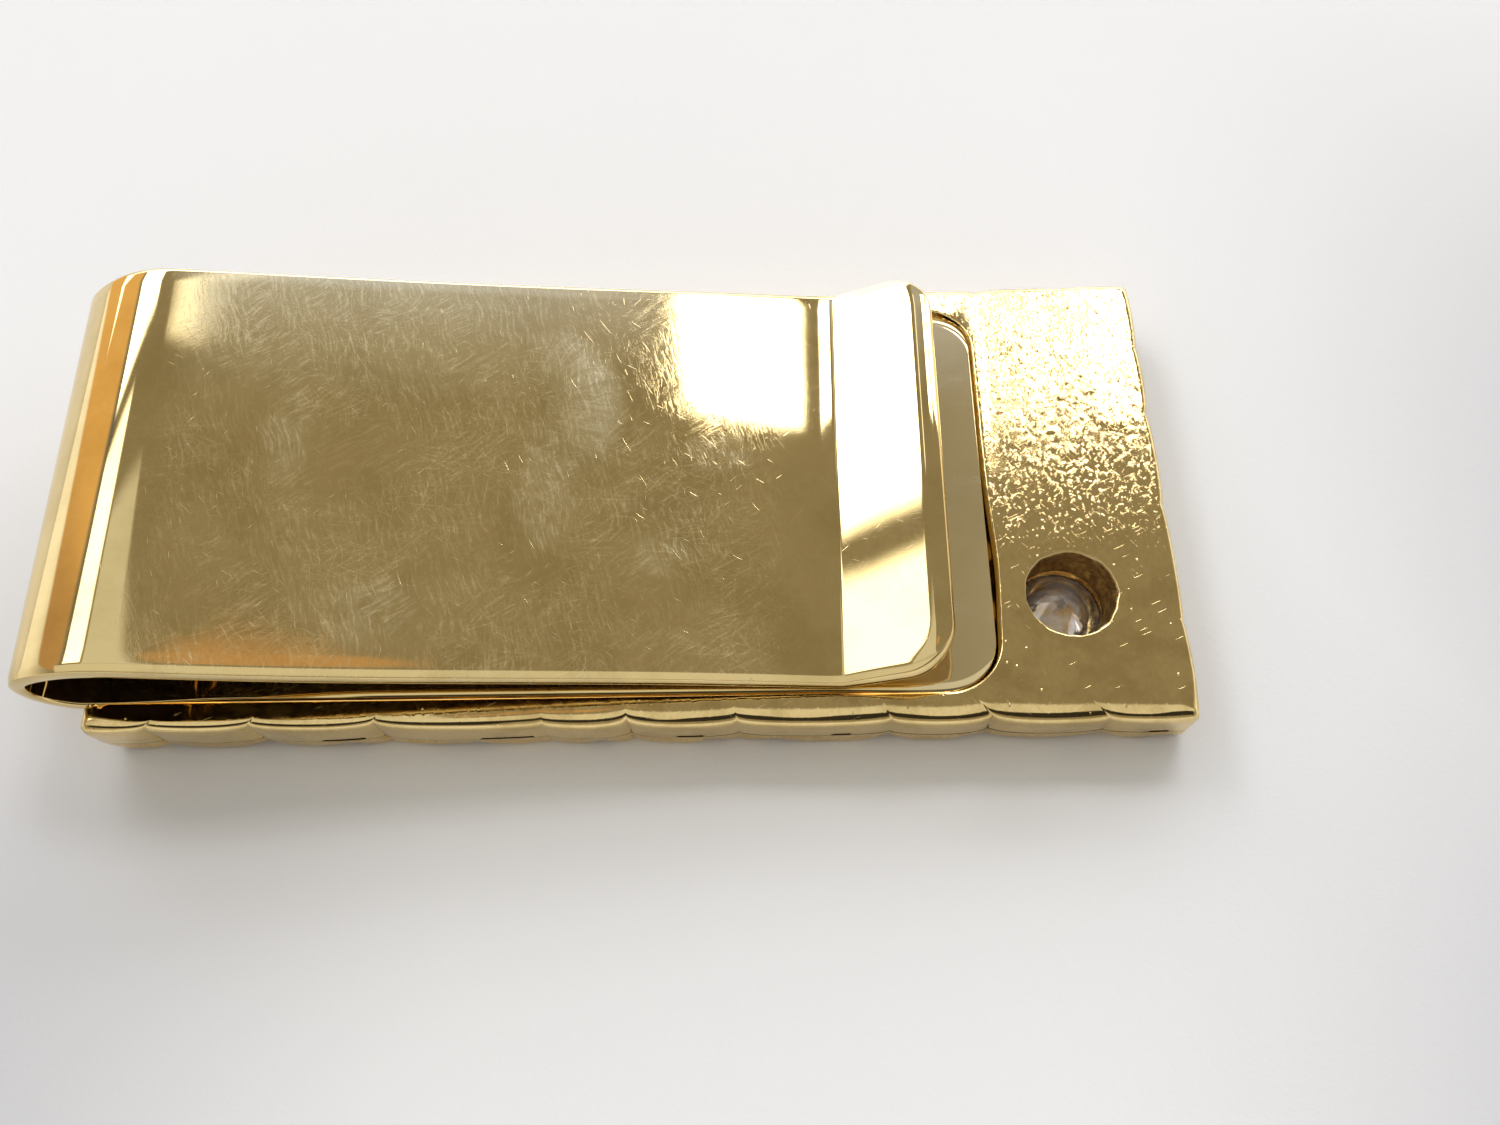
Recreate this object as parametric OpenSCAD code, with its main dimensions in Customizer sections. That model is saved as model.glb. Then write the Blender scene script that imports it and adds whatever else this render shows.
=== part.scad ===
// Nugget money clip: a cast plate with a stone set in one corner and a folded
// spring strip let into its back. It lies on its nugget face, clip side up.
// The strip is one piece of metal. It is cut into seven stretches here, so that
// it can flex at three lines as a spring does.

/* [Plate] */
// Length of the plate, along X
plate_len = 54; // [50:0.5:60]
// Width of the plate, along Y
plate_w = 25.4; // [24:0.2:32]
// Thickness of the flat back layer
back_t = 2.0; // [1.8:0.1:3]
// Thickness of the nugget layer, from the seam to its highest lumps
face_t = 1.3; // [1.2:0.1:2.5]
// How far the nugget layer stands in from the back layer's edge
face_inset = 0.15; // [0.1:0.05:0.4]
// Depth of the notches between the edge lumps
notch_depth = 0.38; // [0.2:0.02:0.5]
// How far the plate's corners are cut back
corner_cut = 0.36; // [0.2:0.02:0.6]

/* [Nugget relief] */
// Lumps along the plate
lumps_x = 11; // [8:1:14]
// Lumps across the plate
lumps_y = 5; // [4:1:7]
// Thickness left at the bottom of the creases
crease_t = 0.55; // [0.4:0.05:0.8]
// Width of a lump's rounded shoulder
shoulder_w = 2.2; // [1.5:0.1:3]
// Share of each lump's place that is irregular
lump_jitter = 0.72; // [0:0.02:0.8]

/* [Spring strip] */
// Width of the strip, along Y
strip_w = 22.2; // [20:0.1:23]
// Thickness of the strip
strip_t = 0.8; // [0.6:0.05:1]
// Where the base leaf ends, from the bend end of the plate
base_end = 44.9; // [43:0.1:46]
// Corner radius of the base leaf
base_corner_r = 2.6; // [1.5:0.1:4]
// Depth of the base leaf's top below the plate's back
base_sink = 0.1; // [0:0.05:0.3]
// Thickness of the solder under the base leaf
solder_t = 0.1; // [0.05:0.05:0.2]
// Gap between the base leaf and the recess's end
recess_gap = 0.35; // [0.2:0.05:0.6]
// Radius of the tight lower bend, at the strip's middle
bend_r = 2.2; // [2:0.1:2.6]
// Centre of the tight bend, from the end of the plate
bend_x = -0.7; // [-2:0.1:-0.5]
// Radius of the wide upper bend, at the strip's middle
crown_r = 7; // [6:0.5:9]
// Where the tight bend gives way to the wide one, in degrees round its centre
crown_from = 125; // [120:1:130]
// Gap under the crease when nothing is held
crease_gap = 0.3; // [0.25:0.05:0.6]
// Where the upper leaf turns up, from the bend end of the plate
crease_x = 36.6; // [34:0.1:37]
// Radius of the crease, at the strip's middle
crease_r = 1.6; // [1.2:0.1:2.5]
// Slope of the lip just after the crease, in degrees
lip_angle = 24; // [15:1:30]
// Length of the lip's straight part
lip_straight = 2.3; // [1.5:0.1:2.6]
// Radius of the lip's rounded-over end, at the strip's middle
lip_r = 6; // [5:0.5:10]
// Where the lip ends, from the bend end of the plate
lip_end = 42.3; // [41:0.1:43]
// Corner radius of the lip
lip_corner_r = 2.4; // [1.5:0.1:3]
// Where the strip flexes between its rear and middle stretches
flex_rear_x = 13; // [11:0.5:16]
// Where the strip flexes between its middle and front stretches
flex_front_x = 25; // [22:0.5:28]

/* [Stone] */
// Diameter of the stone
stone_d = 4.2; // [4:0.1:4.4]
// Place of the stone from the lip end of the plate
stone_from_end = 5.3; // [5:0.1:6]
// Place of the stone from the near long edge of the plate
stone_from_edge = 6.5; // [6:0.1:8]
// Diameter of the open hole behind the stone
hole_d = 4.4; // [4:0.1:5]
// Depth of that hole, down to its ledge
hole_depth = 1.0; // [0.8:0.1:1.2]
// Opening in the ledge
ledge_d = 3.5; // [3.2:0.1:3.6]
// Outside diameter of the collar that carries the stone
collar_d = 5.5; // [5.4:0.1:6]
// Diameter of the cup round the claws
cup_d = 6.6; // [6.4:0.1:8]
// Number of claws
claws = 4; // [4:1:6]
// Diameter of a claw
claw_d = 0.7; // [0.6:0.05:0.8]

/* [Hidden] */
$fn = 64;

// Colours, as worn gold plate, rough cast gold, solder and clear stone.
polished_gold = [0.83, 0.69, 0.40];
cast_gold = [0.76, 0.60, 0.30];
solder_grey = [0.70, 0.64, 0.48];
clear_stone = [0.86, 0.88, 0.92, 0.6];

// Heights. Z is 0 at the tops of the nugget lumps, which the clip lies on.
seam_z = face_t;
back_z = face_t + back_t;
base_top_z = back_z - base_sink;
base_mid_z = base_top_z - strip_t / 2;
recess_floor_z = base_top_z - strip_t - solder_t;
recess_side_gap = 0.1;
cut_over = 1;

// Middle line of the folded strip, as points [x, z] in the plate's own X. Each bend is
// an arc: the tight one, then the wide one that crowns it, then the crease, then the lip.
bend_c = [bend_x, base_mid_z + bend_r];
crown_start = bend_c + bend_r * [cos(crown_from), sin(crown_from)];
crown_c = crown_start - crown_r * [cos(crown_from), sin(crown_from)];
crease_c = [crease_x, base_top_z + crease_gap + strip_t / 2 + crease_r];
// The upper leaf is the straight line that touches both the crown and the crease.
crown_to_crease = crease_c - crown_c;
leaf_drop = 90 - atan2(crown_to_crease[1], crown_to_crease[0])
    - acos((crown_r + crease_r) / norm(crown_to_crease));
leaf_along = [cos(leaf_drop), -sin(leaf_drop)];
leaf_up = [sin(leaf_drop), cos(leaf_drop)];
leaf_start = crown_c + crown_r * leaf_up;
leaf_end = crease_c - crease_r * leaf_up;
leaf_len = norm(leaf_end - leaf_start);
flex_rear = (flex_rear_x - leaf_start[0]) / leaf_along[0];
flex_front = (flex_front_x - leaf_start[0]) / leaf_along[0];
// The lip climbs straight out of the crease, then rounds over.
lip_start = crease_c + crease_r * [sin(lip_angle), -cos(lip_angle)];
lip_crest = lip_start + lip_straight * [cos(lip_angle), sin(lip_angle)];
// Its round end runs a little past level, and is trimmed to the lip's outline.
lip_past_level = 16;
lip_trim = 0.1;

// The stone hangs table down, its girdle in the collar.
girdle_r = stone_d / 2;
girdle_t = 0.1;
table_r = 0.53 * girdle_r;
break_r = 0.8 * girdle_r;
culet_r = 0.24 * girdle_r;
crown_h = 0.13 * stone_d;
pavilion_h = 0.43 * stone_d;
table_z = 0.1;
girdle_low_z = table_z + crown_h;
girdle_top_z = girdle_low_z + girdle_t;
culet_z = girdle_top_z + pavilion_h;
stone_gap = 0.02;
stone_x = plate_len - stone_from_end;
stone_y = stone_from_edge - plate_w / 2;
collar_low_z = girdle_top_z - 0.05;
seat_z = girdle_top_z + (1 - ledge_d / stone_d) * pavilion_h;
claw_ring_r = girdle_r + claw_d / 2 - 0.08;
claw_tip_r = 0.42;
claw_lean = 0.22;

// The origin is under the middle of the whole clip, bend included.
x_shift = (plate_len + bend_x - bend_r - strip_t / 2) / 2;

// Notches along the four edges, as places along each edge from its lower end.
near_notches = [3.4, 8.6, 14.8, 23, 27.1, 32.4, 39.7, 44.4, 49.8];
far_notches = [4.6, 10.2, 15.1, 21.4, 28.7, 33.2, 38.9, 45.6, 50.1];
lip_end_notches = [4.9, 11.3, 16.9, 21.1];
bend_end_notches = [4.2, 9.8, 14.6, 20.7];
notch_sharpness = 0.62;
steps_per_lump = 7;
grid_x = 44;
grid_y = 20;

function mix(a, b, t) = a + (b - a) * t;
function fitted(places, given, length) = [0, for (p = places) p * length / given, length];
near = fitted(near_notches, 54, plate_len);
far = fitted(far_notches, 54, plate_len);
lip_side = fitted(lip_end_notches, 25.4, plate_w);
bend_side = fitted(bend_end_notches, 25.4, plate_w);

// How far an edge stands in from its straight line at place s: a row of shallow bulges
// that meet in notches of uneven depth, with a cut at both corners.
function notch_share(k) = 0.75 + 0.25 * cos(137 * k);
function edge_cut(s, marks) =
    let (last = len(marks) - 1,
         k = min([for (i = [0:last - 1]) if (s <= marks[i + 1]) i]),
         t = (s - marks[k]) / (marks[k + 1] - marks[k]),
         from = k == 0 ? corner_cut : notch_depth * notch_share(k),
         to = k == last - 1 ? corner_cut : notch_depth * notch_share(k + 1))
    mix(from, to, t) * (1 - pow(4 * t * (1 - t), notch_sharpness));
function edge_places(marks) = [
    for (k = [0:len(marks) - 2])
        for (i = [k == 0 ? 1 : 0:steps_per_lump - 1])
            mix(marks[k], marks[k + 1], i / steps_per_lump)];

// The plate's outline, anticlockwise from the near edge at the bend end.
half_w = plate_w / 2;
outline = [
    for (s = edge_places(near)) [s, edge_cut(s, near) - half_w],
    [plate_len - corner_cut, corner_cut - half_w],
    for (s = edge_places(lip_side)) [plate_len - edge_cut(s, lip_side), s - half_w],
    [plate_len - corner_cut, half_w - corner_cut],
    for (s = edge_places(far)) [plate_len - s, half_w - edge_cut(plate_len - s, far)],
    [corner_cut, half_w - corner_cut],
    for (s = edge_places(bend_side)) [edge_cut(plate_w - s, bend_side), half_w - s],
    [corner_cut, corner_cut - half_w]];

// A repeatable scatter from 0 to 1 for lump [i, j].
function scatter(i, j, k) =
    let (v = abs(sin(127.1 * i + 311.7 * j + 74.7 * k)) * 437.58) v - floor(v);
lump_seeds = [
    for (i = [-1:lumps_x]) for (j = [-1:lumps_y])
        [(i + 0.5 + lump_jitter * (scatter(i, j, 1) - 0.5)) * plate_len / lumps_x,
         (j + 0.5 + lump_jitter * (scatter(i, j, 2) - 0.5)) * plate_w / lumps_y - half_w,
         min(1, 0.72 + 0.5 * scatter(i, j, 3))]];
// Thickness of the nugget layer at a place: flat-topped pillows with creases between them.
function relief(p) =
    let (d = [for (s = lump_seeds) norm([s[0] - p[0], s[1] - p[1]])],
         first = min(d),
         own = lump_seeds[search(first, d)[0]],
         second = min([for (v = d) if (v > first) v]),
         rise = min(1, (second - first) / shoulder_w))
    crease_t + (face_t - crease_t) * own[2] * (1 - pow(1 - rise, 2));

module place() {
    translate([-x_shift, 0, 0]) children();
}

// Everything below is drawn outward from a point [x, z] on the strip's middle line,
// heading along the strip, so that two stretches drawn from one point join exactly.
module heading(from, slope) {
    translate([from[0], 0, from[1]]) rotate([0, -slope, 0]) children();
}

module straight(length) {
    translate([0, -strip_w / 2, -strip_t / 2]) cube([length, strip_w, strip_t]);
}

// A stretch that curls upward through an angle.
module curl(r, angle) {
    translate([0, 0, r])
        rotate([90, 0, 0])
            rotate([0, 0, -90])
                rotate_extrude(angle = angle, $fn = 128)
                    translate([r - strip_t / 2, -strip_w / 2]) square([strip_t, strip_w]);
}

module backward() {
    mirror([1, 0, 0]) children();
}

module downward() {
    mirror([0, 0, 1]) children();
}

// A tongue seen from above: square where it starts, two round corners where it ends.
module tongue(from, to, width, corner_r) {
    translate([from, -width / 2]) square([to - corner_r - from, width]);
    translate([from, corner_r - width / 2]) square([to - from, width - 2 * corner_r]);
    for (side = [-1, 1])
        translate([to - corner_r, side * (width / 2 - corner_r)]) circle(corner_r);
}

module round_hole(d, low_z, high_z) {
    translate([stone_x, stone_y, low_z]) cylinder(d = d, h = high_z - low_z);
}

// Flat cast layer: its back carries the recess for the base leaf and the stepped stone hole.
module back_plate() {
    color(cast_gold)
        place()
            difference() {
                translate([0, 0, seam_z]) linear_extrude(back_t) polygon(outline);
                translate([0, 0, recess_floor_z])
                    linear_extrude(back_t)
                        tongue(-cut_over, base_end + recess_gap,
                               strip_w + 2 * recess_side_gap, base_corner_r);
                round_hole(hole_d, back_z - hole_depth, back_z + cut_over);
                round_hole(ledge_d, seam_z - cut_over, back_z);
            }
}

// Cast nugget relief under the back layer, with the collar's bore and the cup round the claws.
module nugget_face() {
    color(cast_gold)
        place()
            difference() {
                relief_slab();
                round_hole(collar_d + 2 * stone_gap, -cut_over, seam_z + cut_over);
                round_hole(cup_d, -cut_over, collar_low_z);
            }
}

// A grid of lumps that follows the plate's outline, standing in from it a little.
module relief_slab() {
    row = grid_x + 1;
    places = [
        for (j = [0:grid_y]) for (i = [0:grid_x])
            let (u = i / grid_x, v = j / grid_y, s = u * plate_len, w = v * plate_w)
            [s + (1 - u) * (face_inset + edge_cut(w, bend_side))
                 - u * (face_inset + edge_cut(w, lip_side)),
             w + (1 - v) * (face_inset + edge_cut(s, near))
                 - v * (face_inset + edge_cut(s, far)) - half_w]];
    lumps = len(places);
    cells = [for (j = [0:grid_y - 1]) for (i = [0:grid_x - 1]) j * row + i];
    rim = [for (i = [0:grid_x - 1]) i,
           for (j = [0:grid_y - 1]) j * row + grid_x,
           for (i = [grid_x:-1:1]) grid_y * row + i,
           for (j = [grid_y:-1:1]) j * row];
    n = len(rim);
    polyhedron(
        points = [for (p = places) [p[0], p[1], seam_z],
                  for (p = places) [p[0], p[1], seam_z - relief(p)]],
        faces = [
            [for (k = [n - 1:-1:0]) rim[k]],
            for (c = cells) [lumps + c, lumps + c + 1, lumps + c + row + 1],
            for (c = cells) [lumps + c, lumps + c + row + 1, lumps + c + row],
            for (k = [0:n - 1]) [rim[k], rim[(k + 1) % n], lumps + rim[(k + 1) % n]],
            for (k = [0:n - 1]) [rim[k], lumps + rim[(k + 1) % n], lumps + rim[k]]]);
}

// Solder between the base leaf and the floor of its recess.
module solder_layer() {
    margin = 0.4;
    color(solder_grey)
        place()
            translate([margin, margin - strip_w / 2, recess_floor_z])
                cube([base_end - base_corner_r - margin, strip_w - 2 * margin, solder_t]);
}

// Spring strip, first stretch: the leaf let into the plate's back.
module clip_base_leaf() {
    color(polished_gold)
        place()
            translate([0, 0, base_top_z - strip_t])
                linear_extrude(strip_t) tongue(bend_x, base_end, strip_w, base_corner_r);
}

// The tight bend, from the base leaf up to its outermost line.
module clip_bend_lower() {
    color(polished_gold) place() heading([bend_x, base_mid_z], 0) backward() curl(bend_r, 90);
}

// The rest of the tight bend, and the wide bend that crowns it.
module clip_bend_upper() {
    color(polished_gold)
        place()
            heading(crown_start, crown_from - 90) {
                downward() curl(crown_r, crown_from - 90 + leaf_drop);
                downward() backward() curl(bend_r, 180 - crown_from);
            }
}

// The sloping upper leaf, from the bend to the first flex line.
module clip_leaf_rear() {
    color(polished_gold) place() heading(leaf_start, -leaf_drop) straight(flex_rear);
}

module clip_leaf_middle() {
    color(polished_gold)
        place()
            heading(leaf_start + flex_rear * leaf_along, -leaf_drop)
                straight(flex_front - flex_rear);
}

// The front of the upper leaf and the crease that presses on the notes.
module clip_leaf_front() {
    color(polished_gold)
        place()
            heading(leaf_end, -leaf_drop) {
                backward() straight(leaf_len - flex_front);
                curl(crease_r, leaf_drop + lip_angle);
            }
}

// The finger lip.
module clip_lip() {
    color(polished_gold)
        place()
            intersection() {
                heading(lip_crest, lip_angle) {
                    backward() straight(lip_straight);
                    downward() curl(lip_r, lip_angle + lip_past_level);
                }
                translate([0, 0, back_z - cut_over])
                    linear_extrude(2 * crown_r)
                        tongue(crease_x - lip_corner_r, lip_end,
                               strip_w + 2 * lip_trim, lip_corner_r + lip_trim);
            }
}

// Collar and claws in one: a conical seat for the stone, and claws lapped over its crown.
module stone_setting() {
    color(polished_gold)
        place()
            translate([stone_x, stone_y, 0])
                difference() {
                    union() {
                        translate([0, 0, collar_low_z])
                            cylinder(d = collar_d, h = seam_z - collar_low_z);
                        for (k = [0:claws - 1]) rotate([0, 0, 45 + 360 * k / claws]) claw();
                    }
                    stone_room();
                }
}

module claw() {
    tip_z = claw_tip_r + 0.04;
    translate([claw_ring_r, 0, tip_z]) cylinder(d = claw_d, h = girdle_top_z + 0.1 - tip_z);
    translate([claw_ring_r - claw_lean, 0, tip_z]) sphere(claw_tip_r);
}

// The space the stone takes in its setting, with the opening behind it.
module stone_room() {
    rotate_extrude()
        polygon([[0, table_z - cut_over],
                 [table_r, table_z - cut_over],
                 [table_r + stone_gap, table_z],
                 [break_r + stone_gap, mix(table_z, girdle_low_z, 0.5)],
                 [girdle_r + stone_gap, girdle_low_z],
                 [girdle_r + stone_gap, girdle_top_z],
                 [ledge_d / 2, seat_z],
                 [ledge_d / 2, seam_z + cut_over],
                 [0, seam_z + cut_over]]);
}

// A round brilliant, table down.
module stone() {
    color(clear_stone)
        place()
            translate([stone_x, stone_y, 0])
                hull() {
                    facet_ring(8, 0, table_r, table_z);
                    facet_ring(8, 22.5, break_r, mix(table_z, girdle_low_z, 0.5));
                    facet_ring(16, 11.25, girdle_r, girdle_low_z);
                    facet_ring(16, 11.25, girdle_r, girdle_top_z);
                    facet_ring(8, 0, culet_r, mix(culet_z, girdle_top_z, 0.22));
                    facet_ring(8, 0, 0.02, culet_z);
                }
}

module facet_ring(count, turn, r, z) {
    rotate([0, 0, turn]) translate([0, 0, z]) cylinder(r = r, h = 0.001, $fn = count);
}

back_plate();
nugget_face();
solder_layer();
clip_base_leaf();
clip_bend_lower();
clip_bend_upper();
clip_leaf_rear();
clip_leaf_middle();
clip_leaf_front();
clip_lip();
stone_setting();
stone();
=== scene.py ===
import math

import bmesh
import bpy
import numpy as np
from mathutils import Matrix, Vector, geometry


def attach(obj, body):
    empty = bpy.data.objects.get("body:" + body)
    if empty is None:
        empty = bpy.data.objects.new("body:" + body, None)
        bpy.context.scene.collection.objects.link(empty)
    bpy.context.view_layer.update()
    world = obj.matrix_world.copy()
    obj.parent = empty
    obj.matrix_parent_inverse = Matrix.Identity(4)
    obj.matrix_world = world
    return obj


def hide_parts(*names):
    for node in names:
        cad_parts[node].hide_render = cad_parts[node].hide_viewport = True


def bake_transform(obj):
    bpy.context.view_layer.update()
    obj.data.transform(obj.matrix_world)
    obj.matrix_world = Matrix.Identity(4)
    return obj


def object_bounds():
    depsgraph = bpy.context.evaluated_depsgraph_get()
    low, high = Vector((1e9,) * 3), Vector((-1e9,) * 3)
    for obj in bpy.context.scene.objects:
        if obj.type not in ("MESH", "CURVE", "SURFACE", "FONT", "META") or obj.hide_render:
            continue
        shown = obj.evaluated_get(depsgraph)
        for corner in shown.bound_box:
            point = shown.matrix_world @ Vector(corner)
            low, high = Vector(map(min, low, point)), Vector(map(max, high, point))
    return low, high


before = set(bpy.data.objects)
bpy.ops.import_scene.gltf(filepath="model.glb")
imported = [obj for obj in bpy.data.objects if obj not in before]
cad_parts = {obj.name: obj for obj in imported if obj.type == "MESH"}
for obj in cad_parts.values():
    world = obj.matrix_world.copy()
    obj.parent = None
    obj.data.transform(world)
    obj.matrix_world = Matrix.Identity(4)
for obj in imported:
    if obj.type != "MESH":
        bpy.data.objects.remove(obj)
cad_low, cad_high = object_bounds()

MM = 0.001

# The plate, in mm. X runs from the bend end of the plate, Y is centred, Z is up.
PLATE_LEN = 54.0
PLATE_W = 25.4
HALF_W = PLATE_W / 2
SEAM_Z = 1.3
BACK_Z = 3.3
CREASE_T = 0.55
CORNER_CUT = 0.2
NOTCH_NEAR = 0.40
NOTCH_OTHER = 0.25
NOTCH_SHARPNESS = 0.5
LUMPS_X = 11
LUMPS_Y = 5
LUMP_JITTER = 0.72
SHOULDER_W = 2.2
# Where the notches are on each side, from corner to corner.
NEAR_NOTCHES = [0, 3.4, 8.6, 14.8, 23, 27.1, 32.4, 39.7, 44.4, 49.8, PLATE_LEN]
FAR_NOTCHES = [0, 4.6, 10.2, 15.1, 21.4, 28.7, 33.2, 38.9, 45.6, 50.1, PLATE_LEN]
LIP_END_NOTCHES = [0, 4.9, 11.3, 16.9, 21.1, PLATE_W]
BEND_END_NOTCHES = [0, 4.2, 9.8, 14.6, 20.7, PLATE_W]
EDGE_STEP = 0.16

# The recess and the stone's hole.
RECESS_FLOOR_Z = 2.3
RECESS_END = 45.25
RECESS_HALF_W = 11.2
RECESS_CORNER_R = 2.6
RECESS_CLOSES = 0.25
RECESS_WIDEST_Y = -4.6
STONE_X = 48.7
STONE_Y = -6.2
BORE_R = 2.15
BORE_SHIFT = -0.3
GIRDLE_LOW_Z = 0.646
GIRDLE_TOP_Z = 0.746
TABLE_Z = 0.1
CULET_Z = 2.55

# The spring strip.
STRIP_W = 22.2
BASE_END = 44.9
BASE_MID_Z = 2.8
BEND_X = -0.7
BEND_R = 2.2
CROWN_R = 7.0
CROWN_FROM = 35.0
LEAF_DROP = 6.98456
LEAF_LEN = 33.9
LEAF_SAG = 0.14
BASE_EASE = 0.27
BASE_LOWEST = 3.5
BASE_LEVEL = 9.0
# the crease starts gently and then turns tight
EASE_R = 9.0
EASE_TURN = 4.4
CREASE_R = 1.1
LIP_ANGLE = 22.5
LIP_STRAIGHT = 4.22
LIP_R = 2.2
LIP_PAST_LEVEL = 5.0
BASE_CORNER_R = 2.6
LIP_CORNER_R = 2.4

# Plate X of the cuts between the strip's pieces.
FOLD_LOW_X = 3.35
FOLD_HIGH_X = 8.35
MIDDLE_END_X = 19.35
FRONT_END_X = 30.35

# Plate X of the middle of the whole clip, which is the frame's X 0.
MIDDLE_X = 25.35


def row_point(x, y, z):
    """A point in plate mm as a point in the frame, in metres."""
    return ((x - MIDDLE_X) * MM, y * MM, z * MM)


# ---- noise

def scatter(i, j, k):
    value = np.abs(np.sin(np.radians(127.1 * i + 311.7 * j + 74.7 * k))) * 437.58
    return value - np.floor(value)


def lattice(ix, iy, seed):
    value = np.sin(ix * 12.9898 + iy * 78.233 + seed * 37.719) * 43758.5453
    return value - np.floor(value)


def value_noise(x, y, seed):
    """Smooth noise from -1 to 1 with features about one unit wide."""
    ix = np.floor(x)
    iy = np.floor(y)
    fx = x - ix
    fy = y - iy
    ux = fx * fx * fx * (fx * (fx * 6 - 15) + 10)
    uy = fy * fy * fy * (fy * (fy * 6 - 15) + 10)
    low = lattice(ix, iy, seed) * (1 - ux) + lattice(ix + 1, iy, seed) * ux
    high = lattice(ix, iy + 1, seed) * (1 - ux) + lattice(ix + 1, iy + 1, seed) * ux
    return 2 * (low * (1 - uy) + high * uy) - 1


def fractal(x, y, seed, octaves=3):
    total = 0
    for k in range(octaves):
        total = total + value_noise(x * 2 ** k, y * 2 ** k, seed + 11 * k) / 2 ** k
    return total


def smoothstep(low, high, x):
    t = np.clip((x - low) / (high - low), 0, 1)
    return t * t * (3 - 2 * t)


# ---- meshes

def turn_outward(mesh):
    """Turns every face of a closed mesh to look outward."""
    shape = bmesh.new()
    shape.from_mesh(mesh)
    bmesh.ops.recalc_face_normals(shape, faces=shape.faces)
    shape.to_mesh(mesh)
    shape.free()


def smooth(mesh):
    mesh.polygons.foreach_set("use_smooth", [True] * len(mesh.polygons))


def add_object(name, data):
    made = bpy.data.objects.new(name, data)
    bpy.context.scene.collection.objects.link(made)
    return made


def make_piece(name, points, faces, coords, sharp=()):
    """A smooth-shaded mesh in the frame. coords is the rest place, in mm, that materials read."""
    mesh = bpy.data.meshes.new(name)
    mesh.from_pydata([row_point(*p) for p in points], [], faces)
    turn_outward(mesh)
    smooth(mesh)
    layer = mesh.attributes.new("grain", "FLOAT_VECTOR", "POINT")
    layer.data.foreach_set("vector", np.asarray(coords, np.float32).ravel())
    if sharp:
        flags = [tuple(sorted(e.vertices)) in sharp for e in mesh.edges]
        edge_layer = mesh.attributes.new("sharp_edge", "BOOLEAN", "EDGE")
        edge_layer.data.foreach_set("value", flags)
    mesh.update()
    return add_object(name, mesh)


def between(ring_a, ring_b):
    """Quads between two closed rings of vertex numbers."""
    count = len(ring_a)
    return [(ring_a[k], ring_a[(k + 1) % count], ring_b[(k + 1) % count], ring_b[k])
            for k in range(count)]


class Shell:
    """The points and faces of one piece, built up ring by ring."""

    def __init__(self):
        self.points = []
        self.faces = []

    def ring(self, places):
        """Adds points, and returns their numbers."""
        start = len(self.points)
        self.points += [tuple(p) for p in places]
        return list(range(start, len(self.points)))

    def join(self, rings):
        """Quads between each closed ring and the next."""
        for a, b in zip(rings, rings[1:]):
            self.faces += between(a, b)

    def cover(self, loops, inner=()):
        """Triangles inside the first ring and outside the others, through free inner points."""
        flat = np.array(self.points)
        tris = fill([flat[loop, :2] for loop in loops], [p[:2] for p in inner])
        number = sum(loops, []) + self.ring(inner)
        self.faces += [tuple(number[k] for k in tri) for tri in tris]

    def piece(self, name):
        return make_piece(name, self.points, self.faces, self.points)


def inside_loops(x, y, loops):
    """True for the places that an odd number of the closed loops go round."""
    odd = np.zeros(x.shape, bool)
    for loop in loops:
        ring = np.asarray(loop, float)
        for (ax, ay), (bx, by) in zip(ring, np.roll(ring, -1, 0)):
            if ay != by:
                crosses = (ay > y) != (by > y)
                odd ^= crosses & (x < (bx - ax) * (y - ay) / (by - ay) + ax)
    return odd


def fill(loops, inner):
    """Triangulates the space inside the first closed loop and outside the others, with free
    inner points. Returns the triangles as numbers into all the points, anticlockwise."""
    points = [Vector(p) for loop in loops for p in loop] + [Vector(p) for p in inner]
    edges = []
    start = 0
    for loop in loops:
        count = len(loop)
        edges += [(start + k, start + (k + 1) % count) for k in range(count)]
        start += count
    out, _, tris, source, _, _ = geometry.delaunay_2d_cdt(points, edges, [], 0, 1e-7)
    place = np.array([tuple(p) for p in out])
    tris = np.array([tuple(t) for t in tris])
    a, b, c = (place[tris[:, k]] for k in range(3))
    turn = (b[:, 0] - a[:, 0]) * (c[:, 1] - a[:, 1]) - (b[:, 1] - a[:, 1]) * (c[:, 0] - a[:, 0])
    tris[turn < 0] = tris[turn < 0][:, ::-1]
    centre = (a + b + c) / 3
    kept = inside_loops(centre[:, 0], centre[:, 1], loops) & (np.abs(turn) > 1e-9)
    index = [s[0] for s in source]
    return [tuple(index[k] for k in tri) for tri in tris[kept]]


def jittered(x0, x1, y0, y1, step, seed):
    """Points scattered evenly over a rectangle, a step apart."""
    xs, ys = np.meshgrid(np.arange(x0, x1, step), np.arange(y0, y1, step))
    xs = xs + 0.35 * step * (2 * lattice(xs / step, ys / step, seed) - 1)
    ys = ys + 0.35 * step * (2 * lattice(xs / step, ys / step, seed + 5) - 1)
    return xs.ravel(), ys.ravel()


# ---- the plate's outline

def notch_share(k):
    return 0.75 + 0.25 * math.cos(math.radians(137 * k))


def edge_cut(s, marks, depth=NOTCH_OTHER):
    """How far an edge stands in from its straight line at place s."""
    last = len(marks) - 1
    k = min(i for i in range(last) if s <= marks[i + 1] + 1e-9)
    t = min(1, max(0, (s - marks[k]) / (marks[k + 1] - marks[k])))
    start = CORNER_CUT if k == 0 else depth * notch_share(k)
    end = CORNER_CUT if k == last - 1 else depth * notch_share(k + 1)
    bulge = (4 * t * (1 - t)) ** NOTCH_SHARPNESS
    return (start + (end - start) * t) * (1 - bulge)


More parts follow.
